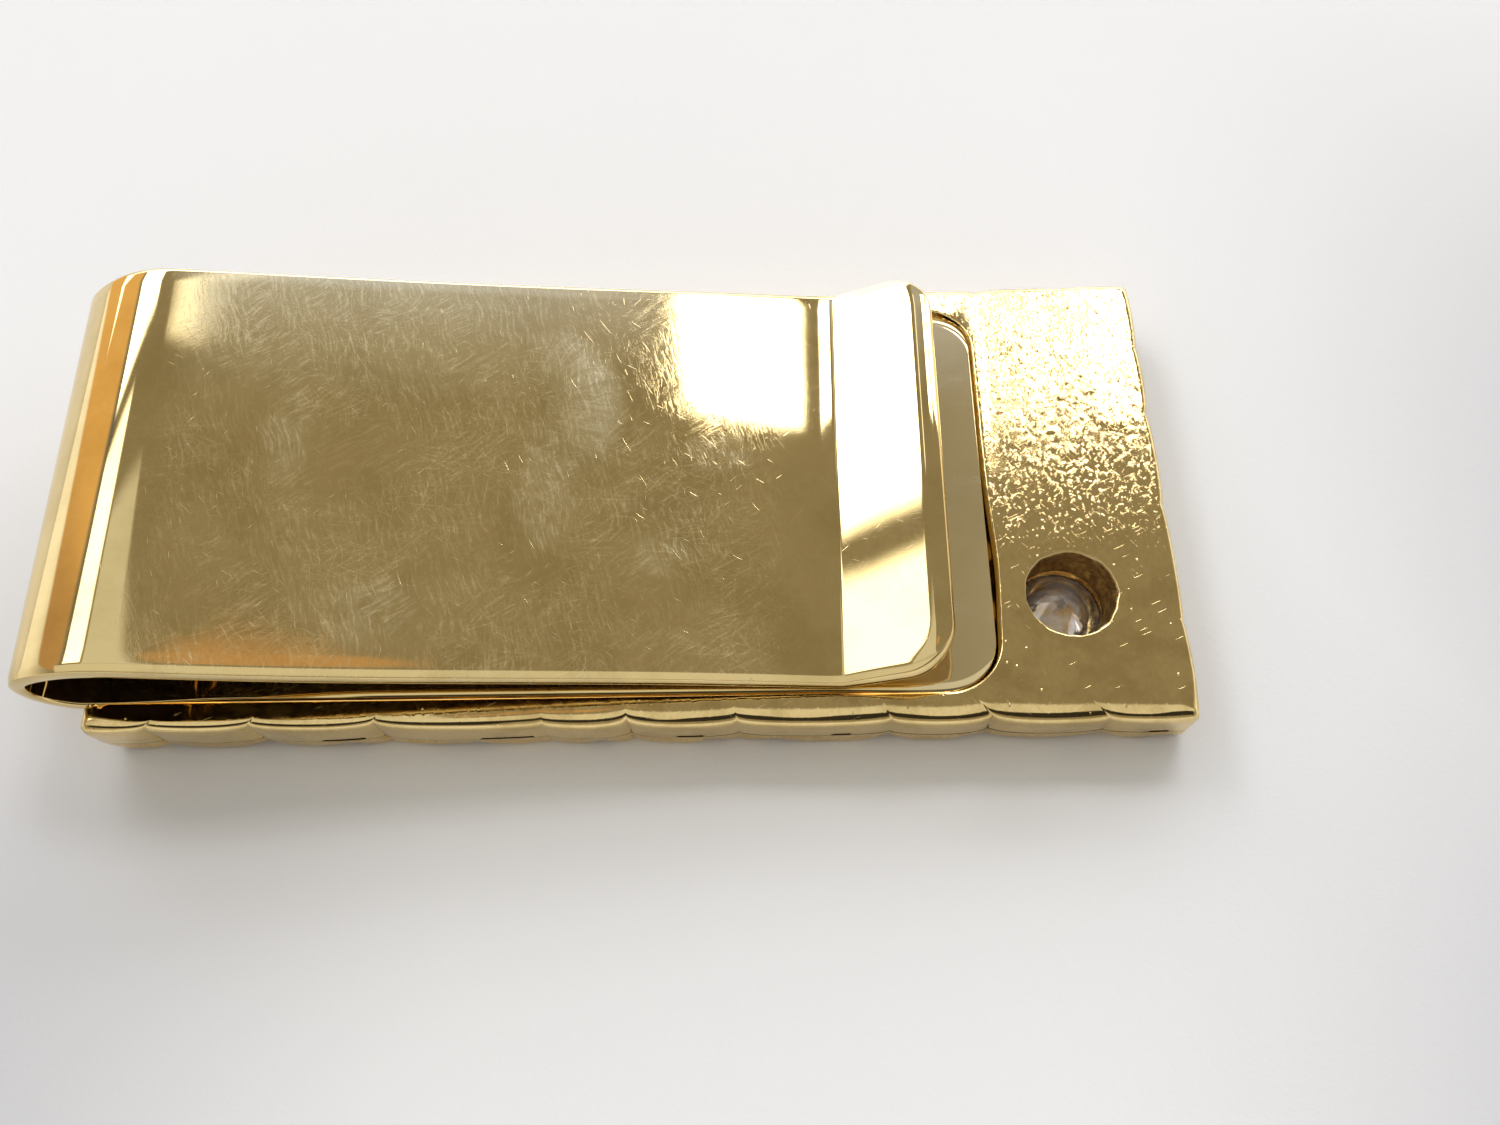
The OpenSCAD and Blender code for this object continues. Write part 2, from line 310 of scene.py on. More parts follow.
def edge_places(marks):
    places = []
    for a, b in zip(marks, marks[1:]):
        count = max(4, round((b - a) / EDGE_STEP))
        for i in range(count):
            # closer together near the notches, where the edge turns
            t = i / count
            places.append(a + (b - a) * (t - 0.11 * math.sin(2 * math.pi * t)))
    return places


def outline(margin):
    """The plate's edge, anticlockwise, and for each point its place on an inner rectangle."""
    edge = []
    anchor = []
    reach_x = (PLATE_LEN - 2 * margin) / PLATE_LEN
    reach_y = (PLATE_W - 2 * margin) / PLATE_W

    def add(x, y, s, w):
        edge.append((x, y))
        anchor.append((margin + reach_x * s, margin + reach_y * w - HALF_W))

    corner = CORNER_CUT
    add(corner, corner - HALF_W, 0, 0)
    for s in edge_places(NEAR_NOTCHES)[1:]:
        add(s, edge_cut(s, NEAR_NOTCHES, NOTCH_NEAR) - HALF_W, s, 0)
    add(PLATE_LEN - corner, corner - HALF_W, PLATE_LEN, 0)
    for w in edge_places(LIP_END_NOTCHES)[1:]:
        add(PLATE_LEN - edge_cut(w, LIP_END_NOTCHES), w - HALF_W, PLATE_LEN, w)
    add(PLATE_LEN - corner, HALF_W - corner, PLATE_LEN, PLATE_W)
    for s in edge_places(FAR_NOTCHES)[:0:-1]:
        add(s, HALF_W - edge_cut(s, FAR_NOTCHES), s, PLATE_W)
    add(corner, HALF_W - corner, 0, PLATE_W)
    for w in edge_places(BEND_END_NOTCHES)[:0:-1]:
        add(edge_cut(w, BEND_END_NOTCHES), w - HALF_W, 0, w)
    return np.array(edge), np.array(anchor)


def drop_crowded(edge, anchor):
    """Leaves out edge points that a corner cut has passed."""
    x, y = edge.T
    along_x = (CORNER_CUT <= x) & (x <= PLATE_LEN - CORNER_CUT)
    along_y = np.abs(y) <= HALF_W - CORNER_CUT
    return edge[along_x | along_y], anchor[along_x | along_y]


# ---- the back plate

RIM_W = 1.3
# From the flat back over the rim and down the side: how far in, and how high.
RIM_LEVELS = [
    (1.30, 3.300), (1.14, 3.298), (0.99, 3.292), (0.85, 3.282), (0.72, 3.269),
    (0.61, 3.254), (0.51, 3.236), (0.42, 3.214), (0.34, 3.188), (0.27, 3.158),
    (0.21, 3.126), (0.16, 3.094), (0.118, 3.060), (0.082, 3.020), (0.052, 2.97),
    (0.028, 2.90), (0.011, 2.80), (0.0, 2.68), (0.0, 2.52), (0.0, 2.36), (0.008, 2.20),
    (0.02, 2.05), (0.03, 1.92), (0.035, 1.80), (0.03, 1.70), (0.03, 1.62), (0.035, 1.55),
    (0.04, 1.48), (0.045, 1.42), (0.05, 1.36), (0.055, 1.30)]
# How wide the rim is on each side, as a share of the near side's widest.
RIM_NEAR = (0.38, 1.0)
RIM_FAR = 0.30
RIM_LIP_END = 0.32
RIM_BEND_END = 0.6
# Short open places in the seam on the near edge: where each is, and half its length.
SEAM_SLOTS = [(12.8, 1.0), (21.0, 1.2), (30.0, 0.55), (37.4, 0.3), (52.4, 0.45)]
SLOT_DEPTH = 0.55
SLOT_TOP_Z = 1.58
SLOT_EASE = 0.12
# The light hole from the back down: radius, height and how rough the wall is.
HOLE_LEVELS = [
    (2.30, 3.300, 0.05), (2.255, 3.298, 0.05), (2.225, 3.282, 0.05), (2.205, 3.245, 0.05),
    (2.19, 3.14, 0.06), (2.18, 2.95, 0.07), (2.17, 2.75, 0.08), (2.18, 2.55, 0.09),
    (2.17, 2.35, 0.08), (2.18, 2.15, 0.08), (2.17, 1.95, 0.07), (2.16, 1.75, 0.05),
    (2.15, 1.55, 0.03), (2.15, 1.30, 0.0)]
HOLE_SIDES = 112
HOLE_SEED = 5
HOLE_EDGE_Z = 3.2
HOLE_CLEAR_R = 2.42
# How high the plate's back may be raised beside the seam.
RAISED_MOST = 0.12
RAISED_BY_SEAM = 0.115
# The rough part of the back starts here, and has closer points than the borders.
ROUGH_FROM = 45.0
ROUGH_STEP = 0.125
BORDER_STEP = 0.22
FLOOR_STEP = 1.1


def recess_shift(y):
    """How far the recess's end stands short of its widest gap: it closes towards its corners."""
    return RECESS_CLOSES * (1 - np.exp(-((y - RECESS_WIDEST_Y) / 3.6) ** 2))


def recess_distance(x, y):
    """How far a place is outside the recess, in mm. It is below 0 inside."""
    x = x + recess_shift(y)
    dx = x - (RECESS_END - RECESS_CORNER_R)
    dy = np.abs(y) - (RECESS_HALF_W - RECESS_CORNER_R)
    corner = np.hypot(np.maximum(dx, 0), np.maximum(dy, 0)) - RECESS_CORNER_R
    return np.where(dx <= 0, np.abs(y) - RECESS_HALF_W, np.where(dy <= 0, x - RECESS_END, corner))


def back_height(x, y):
    """Height of the plate's back: flat, eased down towards the seam, and low in the recess."""
    out = recess_distance(x, y)
    eased = -RAISED_BY_SEAM * (1 - smoothstep(-1.6, 4.5, out)) * smoothstep(44.0, 45.6, x)
    edge = 0.045 * (1 - smoothstep(0.0, 0.11, out)) ** 2
    return np.where(out < -0.004, RECESS_FLOOR_Z, BACK_Z - eased - edge)


def cast_relief(x, y):
    """The rough casting on the back, in mm: a calm ground with small bumps and dips."""
    warp = 0.8 * value_noise(x * 0.5, y * 0.5, 3)
    across = (x * 0.86 + y * 0.5) + warp
    along = (y * 0.86 - x * 0.5) * 0.62 + warp
    fine = fractal(across * 2.6, along * 2.6, 17, 2)
    bumps = np.maximum(0, value_noise(across * 3.4, along * 3.4, 23) - 0.22)
    dips = np.maximum(0, value_noise(x * 2.1, y * 2.1, 41) - 0.5)
    rough = 0.15 + 0.85 * smoothstep(-5.0, 3.0, y)
    inside = smoothstep(0.2, 1.2, recess_distance(x, y)) * smoothstep(44.6, 46.2, x)
    shape = 0.0017 * fine + 0.012 * bumps - 0.006 * dips
    return inside * rough * shape + 0.004 * value_noise(x * 0.5, y * 0.5, 8)


def slot_share(x, y):
    """1 in an open place of the seam on the near edge, else 0."""
    share = 0 * x
    for place, half in SEAM_SLOTS:
        share = np.maximum(share, 1 - smoothstep(0.75 * half, 1.1 * half, np.abs(x - place)))
    return share * (y < -HALF_W + 1.5)


def bore_middle(z):
    """The bore behind the stone slants a little: its middle's X at a height."""
    return STONE_X + BORE_SHIFT * min(1, (BACK_Z - z) / (BACK_Z - SEAM_Z))


def hole_ring(radius, z, count, rough=0.0, middle=STONE_X):
    """A level ring of points round the stone's axis."""
    angle = np.arange(count) * 2 * math.pi / count
    wobble = fractal(4 * np.cos(angle) + z * 2.2, 4 * np.sin(angle) + HOLE_SEED, HOLE_SEED, 2)
    r = radius + rough * wobble
    return np.stack([middle + r * np.cos(angle), STONE_Y + r * np.sin(angle), 0 * r + z], 1)


def rim_share(x, y):
    """How wide the rim is at a place on the plate's edge, against its widest."""
    near = RIM_NEAR[0] + (RIM_NEAR[1] - RIM_NEAR[0]) * smoothstep(12, 40, x)
    lip_end = RIM_LIP_END + 0.5 * smoothstep(2.4, 0.5, y + HALF_W)
    ends = np.where(x > PLATE_LEN / 2, lip_end, RIM_BEND_END)
    from_end = np.minimum(x, PLATE_LEN - x)
    far_side = ends + (RIM_FAR - ends) * smoothstep(0.2, 2.2, from_end)
    near_side = ends + (near - ends) * smoothstep(0.2, 3.2, from_end)
    near_side = np.where(np.abs(y) < HALF_W - 0.6, ends, near_side)
    return np.where(y > 0, far_side, near_side)


def rim_ring(edge, anchor, level):
    """The points of one level of the plate's side, counted from the top."""
    inset, z = RIM_LEVELS[level]
    share = inset * rim_share(edge[:, 0], edge[:, 1]) / RIM_W
    if z < SLOT_TOP_Z:
        depth = smoothstep(SLOT_TOP_Z, SLOT_TOP_Z - SLOT_EASE, z) * SLOT_DEPTH
        share = share + slot_share(edge[:, 0], edge[:, 1]) * depth / RIM_W
    place = edge + (anchor - edge) * share[:, None]
    x = place[:, 0]
    y = place[:, 1]
    top = back_height(x, y)
    if z > 2.9:
        top = top + cast_relief(x, y) * (1 if inset > 1.2 else 0.35)
    height = np.minimum(BACK_Z + RAISED_MOST, top) - (BACK_Z - z)
    # under the recess's open end, each level stays a little below the one over it
    in_recess = np.minimum(z, RECESS_FLOOR_Z - 0.003 * level)
    height = np.where(top < RECESS_FLOOR_Z + 0.1, in_recess, height)
    height = np.maximum(height, SEAM_Z) if z > SEAM_Z else 0 * height + SEAM_Z
    # uneven by hand finishing
    wave = 0.02 * value_noise(x * 0.45 + 7, y * 0.45, 29)
    return np.column_stack([place, height + wave * (1.6 < z < 3.2)])


def light_hole_ring(radius, z, rough):
    ring = hole_ring(radius, z, HOLE_SIDES, rough, bore_middle(z))
    if z > HOLE_EDGE_Z:
        ring[:, 2] += back_height(ring[:, 0], ring[:, 1]) - BACK_Z
        ring[:, 2] += cast_relief(ring[:, 0], ring[:, 1])
    return ring


def back_places(rim_loop):
    """Free points for the plate's back, closer together on its rough part."""
    xs, ys = jittered(ROUGH_FROM, PLATE_LEN, -HALF_W, HALF_W, ROUGH_STEP, 2)
    mx, my = jittered(0, ROUGH_FROM, RECESS_HALF_W, HALF_W, BORDER_STEP, 4)
    xs = np.concatenate([xs, mx, mx])
    ys = np.concatenate([ys, my, -my])
    clear = recess_distance(xs, ys) > 0.14
    clear &= inside_loops(xs, ys, [rim_loop])
    clear &= np.hypot(xs - STONE_X, ys - STONE_Y) > HOLE_CLEAR_R
    fx, fy = jittered(RIM_W + 0.3, RECESS_END - 0.3, -10.9, 10.9, FLOOR_STEP, 6)
    deep = recess_distance(fx, fy) < -0.25
    line = np.array([p for off in (-0.02, 0.0, 0.025, 0.06, 0.11) for p in recess_line(off)])
    x = np.concatenate([xs[clear], line[:, 0], fx[deep]])
    y = np.concatenate([ys[clear], line[:, 1], fy[deep]])
    return np.column_stack([x, y, back_height(x, y) + cast_relief(x, y)])


def build_back_plate():
    edge, anchor = drop_crowded(*outline(RIM_W))
    shell = Shell()
    rim = [shell.ring(rim_ring(edge, anchor, level)) for level in range(len(RIM_LEVELS))]
    shell.join(rim[::-1])
    hole = [shell.ring(light_hole_ring(*level)) for level in HOLE_LEVELS]
    shell.join(hole)
    shell.cover([rim[0], hole[0]], back_places(np.array(shell.points)[rim[0], :2]))
    # the hidden face on the seam
    shell.cover([rim[-1], hole[-1]])
    return shell.piece("plate_back")


def recess_line(off):
    """Points along the recess's edge, off mm outside it."""
    radius = RECESS_CORNER_R + off
    side = RECESS_HALF_W + off
    corner_x = RECESS_END - RECESS_CORNER_R
    corner_y = RECESS_HALF_W - RECESS_CORNER_R
    line = []
    for x in np.arange(RIM_W + 0.06, corner_x, 0.2):
        line += [(x, -side), (x, side)]
    for angle in np.radians(np.arange(0, 90.1, 4)):
        x = corner_x + radius * math.sin(angle)
        y = corner_y + radius * math.cos(angle)
        line += [(x - recess_shift(-y), -y), (x - recess_shift(y), y)]
    for y in np.arange(-corner_y + 0.12, corner_y - 0.06, 0.16):
        line.append((RECESS_END + off - recess_shift(y), y))
    return line


# ---- the nugget face

def lump_relief(x, y):
    """Thickness of the nugget layer at a place."""
    seeds = [(i, j) for i in range(-1, LUMPS_X + 1) for j in range(-1, LUMPS_Y + 1)]
    first = np.full(x.shape, 1e9)
    second = np.full(x.shape, 1e9)
    share = np.zeros(x.shape)
    for i, j in seeds:
        sx = (i + 0.5 + LUMP_JITTER * (scatter(i, j, 1) - 0.5)) * PLATE_LEN / LUMPS_X
        sy = (j + 0.5 + LUMP_JITTER * (scatter(i, j, 2) - 0.5)) * PLATE_W / LUMPS_Y - HALF_W
        own = min(1, 0.72 + 0.5 * scatter(i, j, 3))
        away = np.hypot(x - sx, y - sy)
        nearer = away < first
        second = np.where(nearer, first, np.minimum(second, away))
        share = np.where(nearer, own, share)
        first = np.where(nearer, away, first)
    rise = np.minimum(1, (second - first) / SHOULDER_W)
    return CREASE_T + (SEAM_Z - CREASE_T) * share * (1 - (1 - rise) ** 2)


def nugget_bottom(x, y):
    worn = 0.012 * fractal(x * 1.1, y * 1.1, 51, 3)
    height = SEAM_Z - lump_relief(x, y) + worn
    return np.maximum(0.0, height)


NUGGET_LEVELS = [
    (0.055, 0.0), (0.045, 0.06), (0.04, 0.16), (0.035, 0.30), (0.035, 0.44), (0.04, 0.57),
    (0.05, 0.68), (0.07, 0.78), (0.105, 0.86), (0.16, 0.92), (0.25, 0.96), (0.38, 0.985),
    (0.8, 1.0)]
NUGGET_MARGIN = 0.8
NUGGET_STEP = 0.24
# The cup round the claws and the collar's bore, from the face inward: radius and height. The
# cup's first two rings follow the lumps.
CUP_SIDES = 96
CUP_MOUTH = [3.42, 3.33]
CUP_MOUTH_TOP_Z = 0.42
CUP_LEVELS = [(3.3, 0.45), (3.29, 0.66), (3.24, 0.696), (2.82, 0.696), (2.77, 0.74), (2.77, 1.3)]
CUP_CLEAR_R = 3.55


def build_nugget_face():
    edge, anchor = drop_crowded(*outline(NUGGET_MARGIN))
    depth = nugget_bottom(anchor[:, 0], anchor[:, 1])
    inward = (anchor - edge) / np.linalg.norm(anchor - edge, axis=1)[:, None]
    shell = Shell()
    sides = []
    for inset, share in NUGGET_LEVELS:
        place = edge + (anchor - edge) * (inset / NUGGET_MARGIN)
        lumpy = 0.035 * value_noise(place[:, 0] * 0.7, place[:, 1] * 0.7 + 3 * share, 61)
        if 0 < share < 1:
            place = place + inward * (lumpy + 0.03)[:, None] * min(1, 6 * share)
        height = SEAM_Z + (depth - SEAM_Z) * share
        sides.append(shell.ring(np.column_stack([place, height])))
    shell.join(sides[::-1])

    cup = []
    for k, radius in enumerate(CUP_MOUTH):
        ring = hole_ring(radius, 0.0, CUP_SIDES)
        lumps = nugget_bottom(ring[:, 0], ring[:, 1]) + 0.06 * k
        ring[:, 2] = np.minimum(lumps, CUP_MOUTH_TOP_Z)
        cup.append(shell.ring(ring))
    cup += [shell.ring(hole_ring(radius, z, CUP_SIDES)) for radius, z in CUP_LEVELS]
    shell.join(cup[::-1])

    xs, ys = jittered(0, PLATE_LEN, -HALF_W, HALF_W, NUGGET_STEP, 9)
    border = NUGGET_MARGIN + 0.08
    clear = np.hypot(xs - STONE_X, ys - STONE_Y) > CUP_CLEAR_R
    clear &= (xs > border) & (xs < PLATE_LEN - border)
    clear &= np.abs(ys) < HALF_W - border
    xs = xs[clear]
    ys = ys[clear]
    shell.cover([sides[-1], cup[0]], np.column_stack([xs, ys, nugget_bottom(xs, ys)]))
    # the hidden face on the seam
    shell.cover([sides[0], cup[-1]])
    return shell.piece("nugget_lumps")


# ---- the stone and its setting

# The brilliant from its table to its culet: how many corners, how far the first is turned, the
# radius as a share of the girdle's, and the height.
PAVILION = CULET_Z - GIRDLE_TOP_Z
STONE_CLEARANCE = 0.02
STONE_RINGS = [
    (8, 0, 0.53, TABLE_Z), (8, 22.5, 0.80, 0.40), (32, 5.6, 1.0, GIRDLE_LOW_Z),
    (32, 5.6, 1.0, GIRDLE_TOP_Z), (16, 11.25, 0.985, GIRDLE_TOP_Z + 0.035),
    (8, 0, 0.245, GIRDLE_TOP_Z + 0.785 * PAVILION), (8, 0, 0.012, CULET_Z)]
# The collar's section, up the outside and down the inside: radius and height.
COLLAR_OUTER = [(2.68, 0.70), (2.73, 0.72), (2.75, 0.77), (2.75, 1.24), (2.72, 1.29), (2.66, 1.30)]
COLLAR_INNER = [(2.20, 1.30), (2.165, 1.26), (2.16, 0.80), (2.17, 0.72), (2.20, 0.70)]
COLLAR_SIDES = 72
# A claw stands outside the girdle and leans in over the stone's face: distance from the middle,
# height, radius and lean in degrees.
CLAW_PATH = [
    (2.42, 0.86, 0.33, 0), (2.42, 0.62, 0.35, 0), (2.41, 0.46, 0.36, 12), (2.33, 0.32, 0.36, 40),
    (2.18, 0.22, 0.33, 68), (2.02, 0.19, 0.27, 86), (1.90, 0.21, 0.17, 95)]
CLAW_TURNS = [45, 135, 225, 315]
CLAW_SIDES = 20
CLAW_LOWEST_Z = 0.03


def build_stone():
    """A round brilliant, table down, with its culet towards the back."""
    shape = bmesh.new()
    for count, turn, share, z in STONE_RINGS:
        for k in range(count):
            a = math.radians(turn + 360 * k / count)
            r = share * (BORE_R - STONE_CLEARANCE)
            x = STONE_X + BORE_SHIFT + r * math.cos(a)
            shape.verts.new(row_point(x, STONE_Y + r * math.sin(a), z))
    bmesh.ops.convex_hull(shape, input=shape.verts)
    bmesh.ops.dissolve_limit(shape, angle_limit=0.01, verts=shape.verts, edges=shape.edges)
    bmesh.ops.recalc_face_normals(shape, faces=shape.faces)
    mesh = bpy.data.meshes.new("stone_cut")
    shape.to_mesh(mesh)
    shape.free()
    return add_object("stone_cut", mesh)


def claw_ring(turn, out, z, size, lean):
    """One level of the claw that stands at a turn round the stone."""
    lean = math.radians(lean)
    ring = []
    for k in range(CLAW_SIDES):
        a = 2 * math.pi * k / CLAW_SIDES
        side = size * math.cos(a)
        reach = size * math.sin(a)
        far = out + reach * math.cos(lean)
        x = STONE_X + 0.5 * BORE_SHIFT + far * math.cos(turn) - side * math.sin(turn)
        y = STONE_Y + far * math.sin(turn) + side * math.cos(turn)
        ring.append((x, y, max(CLAW_LOWEST_Z, z - reach * math.sin(lean))))
    return ring


def build_setting():
    """The collar round the stone, and its claws."""
    shell = Shell()
    rings = [shell.ring(hole_ring(radius, z, COLLAR_SIDES)) for radius, z in COLLAR_OUTER]
    rings += [shell.ring(hole_ring(radius, z, COLLAR_SIDES, middle=STONE_X + BORE_SHIFT))
              for radius, z in COLLAR_INNER]
    shell.join(rings + rings[:1])
    for turn in np.radians(CLAW_TURNS):
        rings = [shell.ring(claw_ring(turn, *level)) for level in CLAW_PATH]
        shell.join(rings)
        shell.faces += [tuple(rings[0]), tuple(rings[-1][::-1])]
    return shell.piece("setting_claws")


# ---- the spring strip

# The strip's middle line from the base leaf's end: length or radius, and turn in degrees, which
# is 0 for a straight part.
SEGMENTS = [
    (BASE_END - BEND_X, 0), (BEND_R, -(180 - CROWN_FROM)), (CROWN_R, -(CROWN_FROM + LEAF_DROP)),
    (LEAF_LEN, 0), (EASE_R, EASE_TURN), (CREASE_R, LEAF_DROP + LIP_ANGLE - EASE_TURN),
    (LIP_STRAIGHT, 0), (LIP_R, -(LIP_ANGLE + LIP_PAST_LEVEL))]
ENDS = [0.0]
for size, turn in SEGMENTS:
    ENDS.append(ENDS[-1] + (size * math.radians(abs(turn)) if turn else size))
STRIP_LEN = ENDS[-1]
LEAF_FROM = ENDS[3]
LEAF_TO = ENDS[4]


def strip_at(s):
    """Place [x, z] of the middle line s mm along it."""
    x, z, heading = BASE_END, BASE_MID_Z, math.pi
    for (size, turn), start, end in zip(SEGMENTS, ENDS, ENDS[1:]):
        run = min(s, end) - start
        if turn:
            side = math.copysign(1, turn)
            new = heading + side * run / size
            x += side * size * (math.sin(new) - math.sin(heading))
            z -= side * size * (math.cos(new) - math.cos(heading))
            heading = new
        else:
            x += run * math.cos(heading)
            z += run * math.sin(heading)
        if s <= end:
            break
    # the base leaf dips a little near its end, and the upper leaf sags
    z -= BASE_EASE * min(s / BASE_LOWEST, 1 - smoothstep(BASE_LOWEST, BASE_LEVEL, s))
    t = np.clip((s - LEAF_FROM) / (LEAF_TO - LEAF_FROM), 0, 1)
    return x, z - LEAF_SAG * 16 * (t * (1 - t)) ** 2


def strip_frame(s):
    """Place and outward direction, found from the line's own slope."""
    small = 0.01
    a = strip_at(max(0, s - small))
    b = strip_at(min(STRIP_LEN, s + small))
    length = math.hypot(b[0] - a[0], b[1] - a[1])
    x, z = strip_at(s)
    return x, z, -(b[1] - a[1]) / length, (b[0] - a[0]) / length


TIGHT_STEP = 0.06
BENT_STEP = 0.16
FLAT_STEP = 0.6
ROWS = 36
TONGUE_STEPS = 14
# The rolled edge, from the outer face to the inner: how far in, and how far out.
EDGE_LEVELS = [
    (0.78, 0.400), (0.64, 0.394), (0.50, 0.383), (0.37, 0.366), (0.25, 0.343), (0.135, 0.3205),
    (0.12, 0.3172), (0.09, 0.272), (0.05, 0.20), (0.015, 0.12), (0.0, 0.03), (0.0, -0.18),
    (0.02, -0.27), (0.06, -0.34), (0.13, -0.385), (0.22, -0.400)]
# How wide the roll is: in the recess, along the leaf's near and far edge, and round the lip.
ROLL_RECESS = 0.2
ROLL_NEAR = 0.72
ROLL_FAR = 0.35
ROLL_LIP = 1.25


def strip_stations(start, end):
    """Places along the strip, closer together where it bends."""
    places = [start]
    s = start
    while s < end - 1e-6:
        bent = ENDS[1] - 0.3 < s < ENDS[3] + 0.5 or LEAF_TO - 0.6 < s < STRIP_LEN
        tight = ENDS[5] - 0.1 < s < ENDS[6] + 0.1
        step = TIGHT_STEP if tight else BENT_STEP if bent else FLAT_STEP
        s = min(s + step, end)
        if end - s < 0.4 * step:
            s = end
        places.append(s)
    return places


def roll_share(s, far):
    free = smoothstep(30, 40, s)
    side = ROLL_FAR if far else ROLL_NEAR
    lip = smoothstep(LEAF_TO, STRIP_LEN - LIP_CORNER_R, s)
    return ROLL_RECESS + (side + (ROLL_LIP - side) * lip - ROLL_RECESS) * free


# The bend isn't quite square to the strip, and the leaf is twisted a little: its near side
# lies lower and its far side higher.
BEND_SKEW = 0.9
BEND_SHIFT = 0.1
FAR_RISE = 0.26
NEAR_DROP = 0.75
FAR_SPREAD = 0.04
NEAR_SPREAD = 0.02


def uneven(s, x, y, z):
    """Moves a point of the strip from the regular shape to the bent-by-hand one."""
    half = STRIP_W / 2
    upper = smoothstep(46.5, 56, s)
    bend = smoothstep(36, 45, s) * (1 - smoothstep(58, 84, s))
    far = 0.5 + y / STRIP_W
    near = 1 - far
    x = x + bend * (BEND_SHIFT - BEND_SKEW * y / half)
    z = z + upper * (FAR_RISE * far - NEAR_DROP * near * (1 - smoothstep(60, 88, s)))
    y = y * (1 + (FAR_SPREAD * upper if y > 0 else NEAR_SPREAD * bend))
    return x, y, z


def strip_columns(start, end, tongue, corner_r, inset, far):
    """Places along the strip and half widths, for one side of its outline moved in by inset."""
    half = STRIP_W / 2
    low = start + corner_r if tongue == "start" else start
    high = end - corner_r if tongue == "end" else end
    columns = [(s, half - inset * roll_share(s, far)) for s in strip_stations(low, high)]
    radius = corner_r - inset * roll_share(end if tongue == "end" else start, far)
    angles = np.radians([90 * k / TONGUE_STEPS for k in range(1, TONGUE_STEPS + 1)])
    arc = [(radius * math.sin(a), half - corner_r + radius * math.cos(a)) for a in angles]
    if tongue == "end":
        columns += [(high + reach, wide) for reach, wide in arc]
    if tongue == "start":
        columns = [(low - reach, wide) for reach, wide in arc[::-1]] + columns
    return columns


def build_strip(name, start, end, tongue=None, corner_r=0.0):
    """A stretch of the strip. tongue is "start" or "end" where that end is the strip's own."""
    points = []
    coords = []
    faces = []
    sharp = set()

    def put(s, y, out):
        x, z, nx, nz = strip_frame(s)
        points.append(uneven(s, x + out * nx, y, z + out * nz))
        coords.append((s, y, 3.0 * out))
        return len(points) - 1

    def sheet(row_a, row_b):
        for r in range(len(row_a) - 1):
            faces.append((row_a[r], row_b[r], row_b[r + 1], row_a[r + 1]))

    # the two faces have whole rows of points, and the levels between only their edges
    rows = []
    for level, (inset, out) in enumerate(EDGE_LEVELS):
        near = strip_columns(start, end, tongue, corner_r, inset, False)
        far = strip_columns(start, end, tongue, corner_r, inset, True)
        steps = ROWS if level in (0, len(EDGE_LEVELS) - 1) else 1
        rows.append([[put(s0 + (s1 - s0) * r / steps, -low + (low + high) * r / steps, out)
                      for r in range(steps + 1)] for (s0, low), (s1, high) in zip(near, far)])
    outer = rows[0]
    inner = rows[-1]
    for c in range(len(outer) - 1):
        sheet(outer[c], outer[c + 1])
        sheet(inner[c], inner[c + 1])
    for upper, lower in zip(rows, rows[1:]):
        for side in (0, -1):
            sheet([row[side] for row in upper], [row[side] for row in lower])

    # a rounded end where the strip ends, and a flat cut where it goes on
    for place, here in ((0, "start"), (-1, "end")):
        if here == tongue:
            own = start if place == 0 else end
            wide = STRIP_W / 2 - corner_r
            across = [outer[place]]
            for level, (inset, out) in enumerate(EDGE_LEVELS[1:-1], 1):
                reach = inset * roll_share(own, False)
                s = own + reach if place == 0 else own - reach
                middle = [put(s, -wide + 2 * wide * r / ROWS, out) for r in range(1, ROWS)]
                across.append([rows[level][place][0]] + middle + [rows[level][place][-1]])
            across.append(inner[place])
            if place == 0:
                across = across[::-1]
            for a, b in zip(across, across[1:]):
                sheet(a, b)
        else:
            ring = list(outer[place])
            ring += [row[place][-1] for row in rows[1:-1]]
            ring += inner[place][::-1]
            ring += [row[place][0] for row in rows[-2:0:-1]]
            faces.append(tuple(ring))
            sharp |= {tuple(sorted(pair)) for pair in zip(ring, ring[1:] + ring[:1])}
    return make_piece(name, points, faces, coords, sharp)


def leaf_place(plate_x):
    """How far along the strip its middle line passes a plate X above the fold."""
    low = LEAF_FROM
    high = LEAF_TO
    for _ in range(40):
        mid = (low + high) / 2
        if strip_at(mid)[0] < plate_x:
            low = mid
        else:
            high = mid
    return low


# ---- shader nodes

class Wire:
    """A node's output that can be used in sums."""

    def __init__(self, graph, socket):
        self.graph = graph
        self.socket = socket

    def __add__(self, other):
        return self.graph.math("ADD", self, other)

    def __radd__(self, other):
        return self.graph.math("ADD", other, self)

    def __sub__(self, other):
        return self.graph.math("SUBTRACT", self, other)

    def __rsub__(self, other):
        return self.graph.math("SUBTRACT", other, self)

    def __mul__(self, other):
        return self.graph.math("MULTIPLY", self, other)

    def __rmul__(self, other):
        return self.graph.math("MULTIPLY", other, self)

    def __truediv__(self, other):
        return self.graph.math("DIVIDE", self, other)


